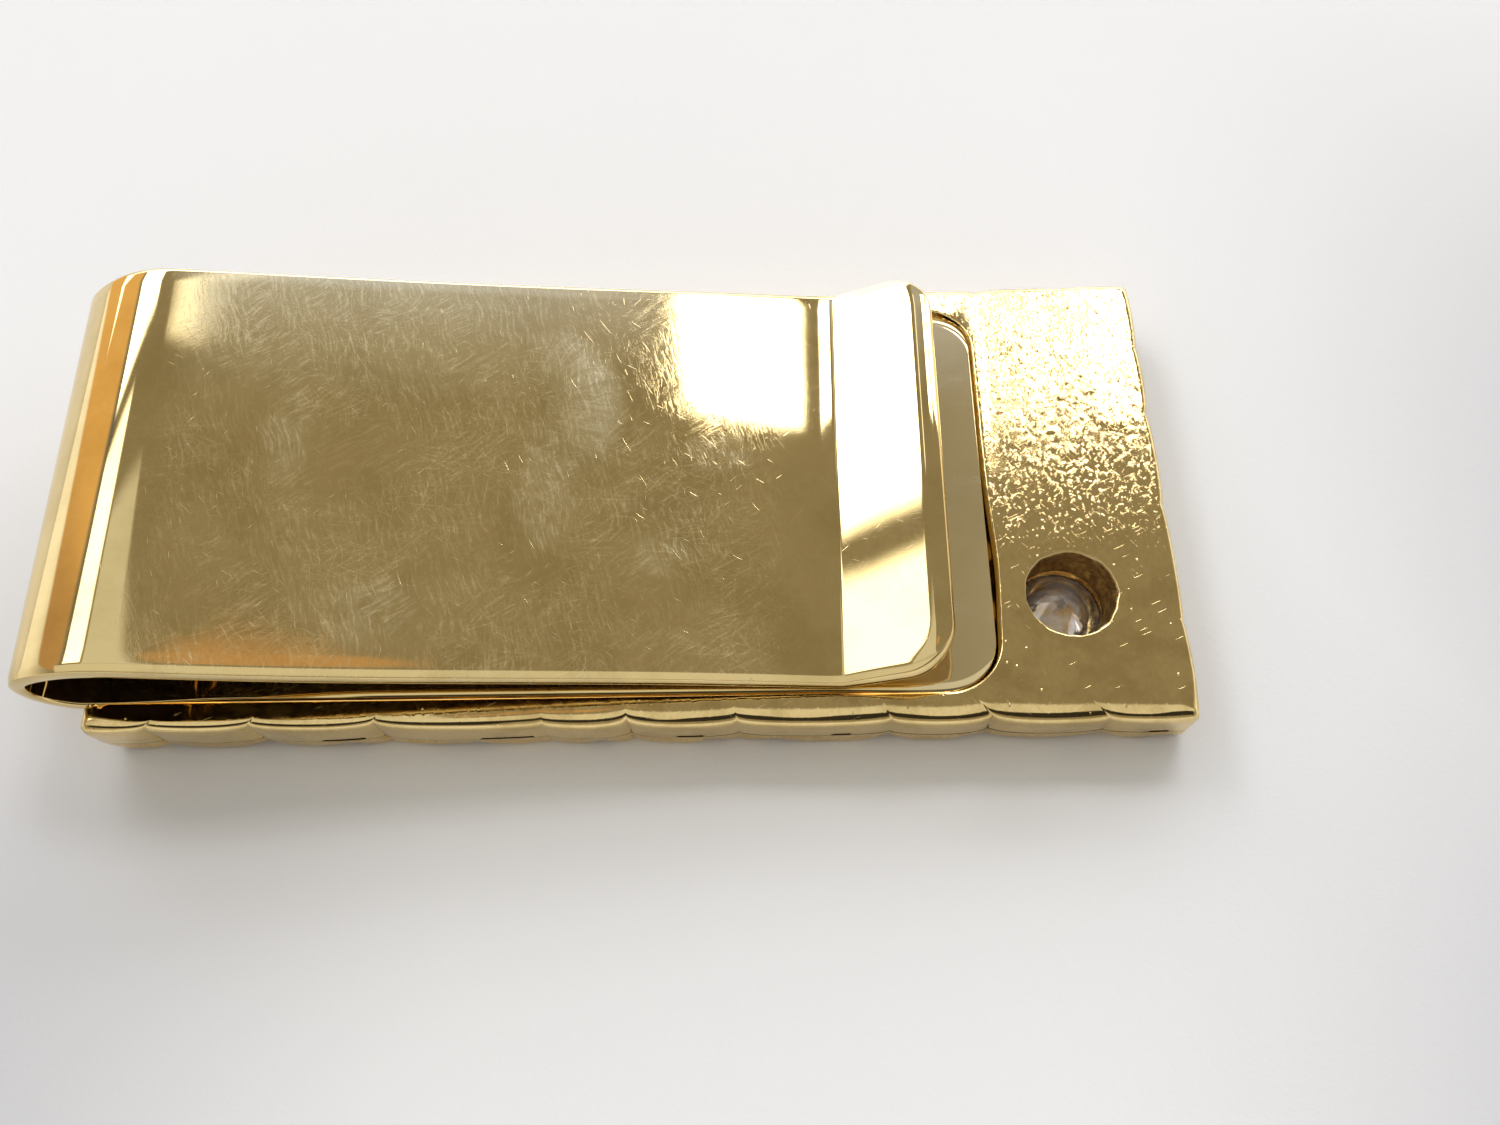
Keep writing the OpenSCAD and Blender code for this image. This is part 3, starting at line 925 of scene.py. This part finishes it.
class Graph:
    """A node tree, with short ways to add what the materials here need."""

    def __init__(self, tree):
        self.tree = tree
        tree.nodes.clear()

    def node(self, kind, inputs, **settings):
        made = self.tree.nodes.new(kind)
        for key, value in settings.items():
            setattr(made, key, value)
        for key, value in inputs.items():
            if isinstance(value, Wire):
                self.tree.links.new(value.socket, made.inputs[key])
            else:
                made.inputs[key].default_value = value
        return made

    def wire(self, made, output=0):
        return Wire(self, made.outputs[output])

    def value(self, kind, inputs, output=0, **settings):
        """A new node's output."""
        return self.wire(self.node(kind, inputs, **settings), output)

    def math(self, operation, a, b=0.0):
        return self.value("ShaderNodeMath", {0: a, 1: b}, operation=operation)

    def most(self, *values):
        """The largest of several values."""
        largest = values[0]
        for value in values[1:]:
            largest = self.math("MAXIMUM", largest, value)
        return largest

    def distance(self, x, y):
        return self.math("SQRT", x * x + y * y)

    def parts(self, vector):
        """A vector's X, Y and Z."""
        split = self.node("ShaderNodeSeparateXYZ", {0: vector})
        return [self.wire(split, k) for k in range(3)]

    def vector(self, operation, a, b=(0, 0, 0)):
        return self.value("ShaderNodeVectorMath", {0: a, 1: b}, operation=operation)

    def step(self, low, high, x):
        """Rises smoothly from 0 at low to 1 at high."""
        inputs = {"Value": x, "From Min": low, "From Max": high}
        return self.value("ShaderNodeMapRange", inputs, interpolation_type="SMOOTHSTEP")

    def inside(self, x, low, high, soft):
        """1 where x is between low and high, with soft ends."""
        return self.step(low - soft, low + soft, x) * self.step(high + soft, high - soft, x)

    def blend(self, share, a, b):
        inputs = {0: share, 6: a, 7: b}
        return self.value("ShaderNodeMix", inputs, 2, data_type="RGBA")

    def noise(self, place, scale, detail=2.0, rough=0.5, distortion=0.0):
        inputs = {"Vector": place, "Scale": scale, "Detail": detail, "Roughness": rough,
                  "Distortion": distortion}
        return self.value("ShaderNodeTexNoise", inputs)

    def placed(self, place, turn=0.0, size=(1, 1, 1), move=(0, 0, 0)):
        inputs = {"Vector": place, "Location": move, "Rotation": (0, 0, math.radians(turn)),
                  "Scale": size}
        return self.value("ShaderNodeMapping", inputs)

    def rest_place(self):
        """Where a point of the piece is at rest, in mm."""
        return self.value("ShaderNodeAttribute", {}, "Vector", attribute_name="grain")

    def cells(self, place, scale=1.0):
        """How far the nearest of many scattered points is, and that point's own number."""
        made = self.node("ShaderNodeTexVoronoi", {"Vector": place, "Scale": scale})
        split = self.node("ShaderNodeSeparateColor", {0: self.wire(made, "Color")})
        return self.wire(made, "Distance"), self.wire(split)

    def strokes(self, place, turn, length, width, seed, share):
        """Short thin marks along one direction. share is how many of the places hold one."""
        turned = self.placed(place, turn)
        scaled = self.placed(turned, 0, (1 / length, 1 / width, 0.2), (seed, 2 * seed, 0))
        away, own = self.cells(scaled)
        return self.step(0.30, 0.06, away) * self.step(1 - share, 1.02 - share * 0.5, own)

    def hairlines(self, place, turn, seed):
        """Long hair-thin streaks along one direction."""
        turned = self.placed(place, turn)
        drawn = self.placed(turned, 0, (0.42, 10.5, 0.2), (seed, 3 * seed, 0))
        return self.step(0.575, 0.70, self.noise(drawn, 1.0, 2.0, 0.55))

    def finish(self, sockets, height=None, strength=1.0):
        """The surface's shader, with its small relief, in mm, as a bump."""
        if height is not None:
            inputs = {"Strength": strength, "Distance": MM, "Height": height}
            sockets = {**sockets, "Normal": self.value("ShaderNodeBump", inputs)}
        shader = self.value("ShaderNodeBsdfPrincipled", sockets)
        self.node("ShaderNodeOutputMaterial", {"Surface": shader})


def new_material(name):
    material = bpy.data.materials.new(name)
    material.use_nodes = True
    return material, Graph(material.node_tree)


GOLD = (0.84, 0.655, 0.315, 1)
GOLD_PALE = (0.89, 0.74, 0.42, 1)
GOLD_DULL = (0.66, 0.50, 0.22, 1)
GOLD_DEEP = (0.62, 0.36, 0.09, 1)
GOLD_ROUGH = (0.74, 0.52, 0.22, 1)
RUBBED = (0.80, 0.74, 0.53, 1)
TARNISH = (0.24, 0.13, 0.04, 1)
# near-black painted shade for the seam's open places and the seam line
SEAM_PAINTED_SHADE = (0.035, 0.02, 0.01, 1)

# The hairline scratches: which way they run, and a shift of the noise.
HAIR_WAYS = [(20, 3.1), (-14, 9.7), (48, 17.3), (74, 23.9), (-47, 31.7), (102, 41.3), (3, 53.9)]
# The nicks: which way they run, length, width, shift, and how many of the places hold one.
NICK_WAYS = [(31, 1.3, 0.055, 61.3, 0.05), (-41, 1.0, 0.05, 71.9, 0.06),
             (78, 0.9, 0.05, 83.1, 0.05), (55, 2.2, 0.045, 91.7, 0.05)]
# The hazy places rubbed into the upper leaf: a curved smear, and patches. Each is given by its
# distance along the strip and to the side, and then its radius or its two half sizes.
SMEAR_AT = (74.5, 3.5)
SMEAR_R = 5.3
PATCHES = [(76.3, -0.7, 1.7, 3.9), (82.3, -4.6, 1.5, 1.3), (67.8, -7.8, 2.6, 2.0),
           (71.0, 6.2, 0.7, 1.5), (85.0, 1.2, 2.0, 1.2), (63.2, 2.0, 1.3, 3.4)]


def curved_smear(g, place, along, side, brushed):
    """A smear rubbed round in a part of a circle, with combed edges."""
    from_x = along - SMEAR_AT[0]
    from_y = side - SMEAR_AT[1]
    away = g.distance(from_x, from_y)
    turn = g.math("ARCTAN2", from_y, from_x)
    wander = g.noise(place, 0.9, 3.0, 0.6)
    fan = g.value("ShaderNodeCombineXYZ", {0: turn * 17.0 + wander * 3.0, 1: away * 0.35})
    comb = g.noise(fan, 1.0, 5.0, 0.72)
    smear = g.step(SMEAR_R + 2.0, SMEAR_R + 0.5, away + 2.4 * comb)
    smear = smear * g.step(SMEAR_R - 4.4, SMEAR_R - 0.6, away) * g.inside(turn, -0.5, 1.4, 0.4)
    return smear * (0.60 + 0.40 * g.step(0.40, 0.58, comb)) * (0.70 + 0.30 * brushed)


def rubbed_patches(g, bent, along, side, brushed):
    """Rubbed patches with broken edges."""
    patches = []
    for centre_x, centre_y, reach_x, reach_y in PATCHES:
        off_x = (along - centre_x) / reach_x
        off_y = (side - centre_y) / reach_y
        patches.append(g.step(1.4, 0.1, off_x * off_x + off_y * off_y))
    broken = g.step(0.30, 0.62, g.noise(bent, 1.1, 5.0, 0.7)) * (0.35 + 0.65 * brushed)
    return 0.62 * g.most(*patches) * broken


def polished_strip():
    """Polished strip: hairline scratches in every direction, hazy smears and a few nicks."""
    material, g = new_material("worn_polished_gold")
    place = g.rest_place()
    along, side, _ = g.parts(place)
    inputs = {"Vector": place, "Scale": 0.35, "Detail": 1.0}
    swirl = g.value("ShaderNodeTexNoise", inputs, "Color")
    bent = g.vector("ADD", place, g.vector("MULTIPLY", swirl, (0.9, 0.9, 0)))
    # the lip and the bend are less worn than the leaf
    on_leaf = g.inside(along, 57.5, LEAF_TO - 2.2, 1.6)
    worn = g.step(0.34, 0.62, g.noise(place, 0.16, 4.0, 0.6)) * (0.12 + 0.88 * on_leaf)
    # brushed into short streaks, which cross from place to place
    steep = g.placed(g.placed(bent, 74), 0, (0.9, 6.5, 1))
    slant = g.placed(g.placed(bent, -36), 0, (0.9, 6.5, 1), (19, 7, 0))
    mixed = g.step(0.38, 0.54, g.noise(place, 0.30, 2.0))
    streaks = (g.noise(steep, 1.0, 4.0, 0.75) * mixed
               + g.noise(slant, 1.0, 4.0, 0.75) * (1 - mixed))
    brushed = g.step(0.46, 0.66, streaks)
    hair = g.most(*(g.hairlines(bent, *way) for way in HAIR_WAYS))
    hair = hair * (0.15 + 0.85 * worn) * (0.40 + 0.60 * brushed)
    nicks = g.most(*(g.strokes(bent, *way) for way in NICK_WAYS)) * (0.15 + 0.85 * on_leaf)
    # hazy rubbed places: thin clouds, a smear, patches, and the far corner by the bend
    cloud = g.step(0.48, 0.80, g.noise(g.placed(place, 35, (0.5, 1.2, 1)), 0.42, 5.0, 0.66))
    broad = g.step(2.0, 12.0, side) * g.step(86, 68, along) * (0.70 + 0.40 * brushed)
    smear = curved_smear(g, place, along, side, brushed)
    patches = rubbed_patches(g, bent, along, side, brushed)
    haze = g.most(cloud * (0.08 + 0.34 * brushed), smear, broad, patches) * on_leaf
    # the open end of the base leaf is rubbed too
    haze = g.most(haze, g.step(5.2, 3.6, along) * (0.42 + 0.30 * cloud))
    fine = g.noise(place, 7.0, 3.0, 0.7)
    dirt = g.step(0.40, 0.68, g.noise(place, 0.22, 4.0, 0.6))
    colour = g.blend(0.25 + dirt * 0.6, GOLD, GOLD_DULL)
    drawn = g.most(hair * 0.8, on_leaf * brushed * (0.14 + 0.40 * worn))
    colour = g.blend(drawn * 0.8, colour, GOLD_PALE)
    colour = g.blend(g.most(haze, nicks) * 0.80, colour, RUBBED)
    colour = g.blend(on_leaf * g.step(0.50, 0.72, fine) * 0.16, colour, GOLD_DEEP)
    rough = 0.028 + 0.020 * worn + 0.07 * haze + 0.05 * hair + 0.12 * nicks
    bright = 1 - (0.46 * haze + 0.25 * hair + 0.45 * nicks + 0.07 * on_leaf * brushed)
    height = (0.0030 * g.noise(place, 0.28, 1.0) - 0.0003 * hair - 0.0012 * nicks
              + on_leaf * (0.0003 * fine + 0.0004 * brushed))
    g.finish({"Base Color": colour, "Metallic": bright, "Roughness": rough}, height)
    return material


def cast_metal(name, grain, pit, dull):
    """Cast gold: small bumps and pits, bright where it is rubbed."""
    material, g = new_material(name)
    place = g.rest_place()
    along, side, up = g.parts(place)
    lumps = g.noise(g.placed(place, -30, (1.0, 0.62, 1.0)), 4.6, 3.0, 0.6)
    fine = g.noise(place, 13.0, 2.0, 0.6)
    away, own = g.cells(place, 1.9)
    pits = g.step(0.15, 0.03, away) * g.step(0.66, 0.70, own)
    soiled = g.step(0.42, 0.70, g.noise(place, 0.5, 4.0, 0.6))
    scratches = g.most(g.strokes(place, 52, 1.1, 0.05, 5.3, 0.10),
                       g.strokes(place, -24, 1.3, 0.05, 15.1, 0.08))
    colour = g.blend(soiled, GOLD, GOLD_DULL)
    colour = g.blend(g.step(0.60, 0.36, lumps) * dull, colour, GOLD_DEEP)
    colour = g.blend(pits * 0.45, colour, GOLD_PALE)
    # the rough and tarnished wall of the light hole
    wall = g.step(2.75, 2.65, g.distance(along - STONE_X, side - STONE_Y))
    wall = wall * g.step(3.255, 3.20, up)
    tarnish = wall * g.step(0.30, 0.62, g.noise(place, 3.2, 5.0, 0.7))
    colour = g.blend(wall * 0.8, colour, GOLD_ROUGH)
    colour = g.blend(tarnish * 0.7, colour, TARNISH)
    # painted shade in the open places of the seam and the notch hollows beside it, and along the
    # seam itself
    from_seam = g.math("ABSOLUTE", up - SEAM_Z)
    from_middle = g.math("ABSOLUTE", side)
    seam_painted_shade = g.inside(from_middle, HALF_W - 1.3, HALF_W - 0.38, 0.08) * g.step(0.36, 0.28, from_seam)
    seam_painted_shade = seam_painted_shade * g.inside(along, 0.9, PLATE_LEN - 0.9, 0.1)
    seam_painted_shade = g.most(seam_painted_shade, g.step(0.05, 0.02, from_seam))
    # the seam's painted shade, near-black
    colour = g.blend(seam_painted_shade, colour, SEAM_PAINTED_SHADE)
    rough = 0.055 + 0.06 * soiled + 0.12 * pits + 0.10 * scratches + 0.22 * wall + 0.3 * seam_painted_shade
    calm = 0.12 + 0.88 * g.step(-6.0, 3.5, side)
    sparse = g.step(0.52, 0.80, lumps)
    height = (calm * grain * (0.16 * lumps + 0.72 * sparse + 0.05 * fine) + pit * pits
              - 0.002 * scratches + 0.14 * wall * g.noise(place, 4.0, 4.0, 0.7))
    g.finish({"Base Color": colour, "Metallic": 1.0, "Roughness": rough}, height)
    return material


def object_place(g):
    """Where a point of a CAD node or the floor is, in mm."""
    place = g.value("ShaderNodeTexCoord", {}, "Object")
    return g.vector("MULTIPLY", place, (1 / MM, 1 / MM, 1 / MM))


def setting_metal():
    material, g = new_material("setting_gold")
    place = g.rest_place()
    soiled = g.step(0.40, 0.66, g.noise(place, 2.4, 4.0))
    colour = g.blend(soiled, GOLD, GOLD_DEEP)
    height = 0.004 * g.noise(place, 6.0, 3.0) - 0.003 * g.strokes(place, 30, 0.6, 0.05, 2.7, 0.4)
    g.finish({"Base Color": colour, "Metallic": 1.0, "Roughness": 0.12 + 0.2 * soiled}, height)
    return material


def solder_metal():
    material, g = new_material("solder_grey_gold")
    place = object_place(g)
    cloud = g.noise(place, 1.6, 4.0)
    colour = g.blend(cloud, (0.60, 0.55, 0.40, 1), (0.42, 0.36, 0.24, 1))
    sockets = {"Base Color": colour, "Metallic": 1.0, "Roughness": 0.35 + 0.2 * cloud}
    g.finish(sockets, 0.02 * g.noise(place, 3.0, 3.0))
    return material


def clear_stone():
    """Clear stone, a little clouded by dust on its back facets."""
    material, g = new_material("clear_faceted_stone")
    dust = g.step(0.46, 0.62, g.noise(object_place(g), 1.0, 4.0, 0.6))
    tint = g.blend(dust, (0.95, 0.92, 0.95, 1), (0.82, 0.60, 0.36, 1))
    g.finish({"Base Color": tint, "Roughness": 0.01 + 0.05 * dust, "IOR": 2.1,
              "Transmission Weight": 0.88})
    return material


def pale_paper():
    """Pale paper, with painted shade in front of the clip and to its right."""
    material, g = new_material("pale_paper")
    place = object_place(g)
    across, along, _ = g.parts(place)
    cloud = g.noise(place, 0.05, 3.0)
    colour = g.blend(cloud, (0.97, 0.98, 0.995, 1), (0.95, 0.96, 0.98, 1))
    corner = g.step(12, 45, g.math("ABSOLUTE", across - 8))
    # painted shade on the floor in front of the clip and to its right, fading far away
    painted_floor_shade = g.most(g.step(15, -35, along) * (0.10 + 0.90 * corner),
                  g.step(28, 60, across) * g.step(48, -10, along))
    painted_floor_shade = painted_floor_shade * g.step(230, 80, g.distance(across, along))
    # the floor's painted shade, a cool grey
    colour = g.blend(painted_floor_shade, colour, (0.62, 0.63, 0.665, 1))
    sockets = {"Base Color": colour, "Roughness": 0.85, "Specular IOR Level": 0.2}
    g.finish(sockets, 0.05 * g.noise(place, 3.0, 4.0, 0.7), 0.25)
    return material


# ---- light

# Soft panels of the studio, by where they stand in the sky over the clip: X/Z and Y/Z of
# their edges, how soft the edges are, and their light.
PANELS = [
    ("upper", (-0.40, 0.10), (0.74, 1.55), 0.10, (0.56, 0.60, 0.76)),
    ("window", (0.07, 0.228), (0.635, 1.0), 0.010, (9.0, 9.0, 9.2)),
    ("second", (0.287, 0.52), (0.665, 1.0), 0.012, (9.0, 9.0, 9.2)),
    ("back", (-2.6, 2.6), (1.45, 9.0), 0.06, (3.4, 3.4, 3.5)),
    ("lip", (-1.10, -0.60), (0.688, 1.45), 0.028, (7.5, 7.5, 7.7)),
    ("low", (-1.10, -0.765), (0.20, 0.612), 0.022, (3.2, 3.2, 3.1)),
    ("streak", (-0.388, -0.345), (0.60, 1.0), 0.012, (1.9, 1.9, 1.9)),
    ("overhead", (-1.3, 1.3), (-0.26, 0.115), 0.03, (0.80, 0.79, 0.74)),
    ("shade", (-1.0, 1.0), (-0.95, -0.28), 0.03, (0.04, 0.035, 0.03))]


# The sky is read no nearer to level than this.
LOWEST = 0.02
CEILING = (0.325, 0.292, 0.225, 1)
WALL_NEAR = (0.86, 0.83, 0.78, 1)
WALL_FAR = (1.32, 1.32, 1.34, 1)
GROUND = (0.75, 0.75, 0.76, 1)
SCREEN_NEAR = (0.56, 0.36, 0.18, 1)
SCREEN_FAR = (0.94, 0.60, 0.25, 1)
SCREEN_EDGE = (0.20, 0.19, 0.22, 1)
BOARD = (0.78, 0.78, 0.76, 1)
ROUND_AT = (-0.255, 0.255)
ROUND_HALF = (0.080, 0.050)
ROUND_LIGHT = (0.60, 0.39, 0.21, 1)


def left_screen(g, light, x, y, z):
    """A warm low screen on the left, with a dark edge over it."""
    leftward = g.math("MULTIPLY", x, -1.0)
    left = g.most(leftward, LOWEST)
    rise = z / left
    side = y / left
    facing = g.step(0.3, 0.5, leftward) * g.inside(side, -0.2, 1.3, 0.05)
    base = 0.62 - 0.85 * side
    warm = g.step(-0.03, 0.03, rise - base) * g.step(0.86, 0.78, rise) * facing
    glow = g.blend(g.step(0.28, 0.50, side), SCREEN_NEAR, SCREEN_FAR)
    light = g.blend(warm, light, glow)
    return g.blend(g.inside(rise, 0.86, 0.95, 0.03) * facing, light, SCREEN_EDGE)


def build_world():
    world = bpy.data.worlds.new("studio")
    bpy.context.scene.world = world
    world.use_nodes = True
    g = Graph(world.node_tree)
    x, y, z = g.parts(g.value("ShaderNodeTexCoord", {}, "Generated"))
    up = g.step(0.0, 0.02, z)
    over = g.most(z, LOWEST)
    across = x / over
    away = y / over
    # the room: dim overhead, paler walls low down
    walls = g.blend(g.step(-0.5, 0.5, y), WALL_NEAR, WALL_FAR)
    light = g.blend(g.step(0.62, 0.18, z), CEILING, walls)
    light = left_screen(g, light, x, y, z)
    # a pale board low over the near end of the bend
    board = g.step(-0.735, -0.715, across) * g.step(-0.35, -0.365, across + 0.24 * (away - 0.28))
    board = board * g.step(0.49, 0.44, away) * g.step(0.10, 0.14, away) * up
    light = g.blend(board, light, BOARD)
    for _, (x0, x1), (y0, y1), soft, glow in PANELS:
        share = g.inside(across, x0, x1, soft) * g.inside(away, y0, y1, soft) * up
        light = g.blend(share, light, (*glow, 1))
    # a warm round reflector low over the near edge
    round_x = (across - ROUND_AT[0]) / ROUND_HALF[0]
    round_y = (away - ROUND_AT[1]) / ROUND_HALF[1]
    near_round = g.step(1.25, 0.70, round_x * round_x + round_y * round_y) * up
    light = g.blend(near_round, light, ROUND_LIGHT)
    light = g.blend(up, GROUND, light)
    background = g.value("ShaderNodeBackground", {"Color": light, "Strength": 1.0})
    g.node("ShaderNodeOutputWorld", {"Surface": background})


FLOOR_R = 3.0
FLOOR_RINGS = 40
FLOOR_SPOKES = 96
FLAT_R = 1.5


def build_floor():
    """A wide pale sheet, its far edge raised a little so that it has no hard horizon."""
    verts = [(0, 0, 0)]
    rings = []
    for r in range(1, FLOOR_RINGS + 1):
        radius = FLOOR_R * (r / FLOOR_RINGS) ** 2
        lift = 0.10 * max(0, radius - FLAT_R) ** 2
        rings.append(range(len(verts), len(verts) + FLOOR_SPOKES))
        for k in range(FLOOR_SPOKES):
            a = 2 * math.pi * k / FLOOR_SPOKES
            verts.append((radius * math.cos(a), radius * math.sin(a), lift))
    first = rings[0]
    faces = [(0, first[k], first[(k + 1) % FLOOR_SPOKES]) for k in range(FLOOR_SPOKES)]
    for a, b in zip(rings, rings[1:]):
        faces += between(b, a)
    mesh = bpy.data.meshes.new("floor")
    mesh.from_pydata(verts, [], faces)
    smooth(mesh)
    floor = add_object("floor", mesh)
    floor.location.z = cad_low.z
    mesh.materials.append(pale_paper())


# Where the camera stands, in mm, and which ways it looks ahead and to the right.
CAMERA_AT = (10.97, -29.17, 54.02)
CAMERA_AHEAD = (-0.058976, 0.440709, -0.895711)
CAMERA_RIGHT = (0.998057, 0.007966, -0.061795)
CAMERA_LENS = 27.03


def build_camera():
    """Above the near side, looking down and away."""
    data = bpy.data.cameras.new("camera")
    data.lens = CAMERA_LENS
    data.sensor_width = 36
    data.clip_start = 0.002
    data.clip_end = 50
    camera = add_object("camera", data)
    ahead = Vector(CAMERA_AHEAD).normalized()
    right = Vector(CAMERA_RIGHT).normalized()
    turn = Matrix((right, right.cross(ahead), -ahead)).transposed()
    camera.matrix_world = Matrix.Translation(Vector(CAMERA_AT) * MM) @ turn.to_4x4()
    bpy.context.scene.camera = camera


# ---- the model

def finish_piece(piece, material, nodes):
    piece.data.materials.append(material)
    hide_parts(*nodes)


build_camera()
build_world()
build_floor()

cast_back = cast_metal("rough_cast_gold", 0.020, 0.012, 0.15)
cast_nugget = cast_metal("nugget_cast_gold", 0.045, 0.02, 0.6)
strip_gold = polished_strip()

back = build_back_plate()
finish_piece(back, cast_back, ["back_plate"])
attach(back, "plate")

nugget = build_nugget_face()
finish_piece(nugget, cast_nugget, ["nugget_face"])
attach(nugget, "plate")

# The strip is cut in its straight parts.
fold_low = BASE_END - FOLD_LOW_X
fold_high = leaf_place(FOLD_HIGH_X)
mid_end = leaf_place(MIDDLE_END_X)
front_end = leaf_place(FRONT_END_X)

base = build_strip("strip_base", 0.0, fold_low, "start", BASE_CORNER_R)
finish_piece(base, strip_gold, ["clip_base_leaf"])
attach(base, "plate")

fold = build_strip("strip_fold", fold_low, fold_high)
finish_piece(fold, strip_gold, ["clip_bend_lower", "clip_bend_upper"])
row_point(-3.35, 0, 3.4)
row_point(-3.0, 0, 6.9)
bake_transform(fold)

middle = build_strip("strip_middle", fold_high, mid_end)
finish_piece(middle, strip_gold, ["clip_leaf_rear", "clip_leaf_middle"])
row_point(9.85, 0, 7.2)
row_point(16.25, 0, 6.4)
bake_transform(middle)

front = build_strip("strip_front", mid_end, front_end)
finish_piece(front, strip_gold, ["clip_leaf_front"])
row_point(21.85, 0, 5.7)
row_point(28.25, 0, 4.9)
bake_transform(front)

lip = build_strip("strip_lip", front_end, STRIP_LEN, "end", LIP_CORNER_R)
finish_piece(lip, strip_gold, ["clip_lip"])
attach(lip, "leaf_front")

stone = build_stone()
finish_piece(stone, clear_stone(), ["stone"])
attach(stone, "plate")

setting = build_setting()
finish_piece(setting, setting_metal(), ["stone_setting"])
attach(setting, "plate")

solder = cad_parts["solder_layer"].data
solder.materials.clear()
solder.materials.append(solder_metal())

bpy.context.scene.view_settings.view_transform = "Standard"
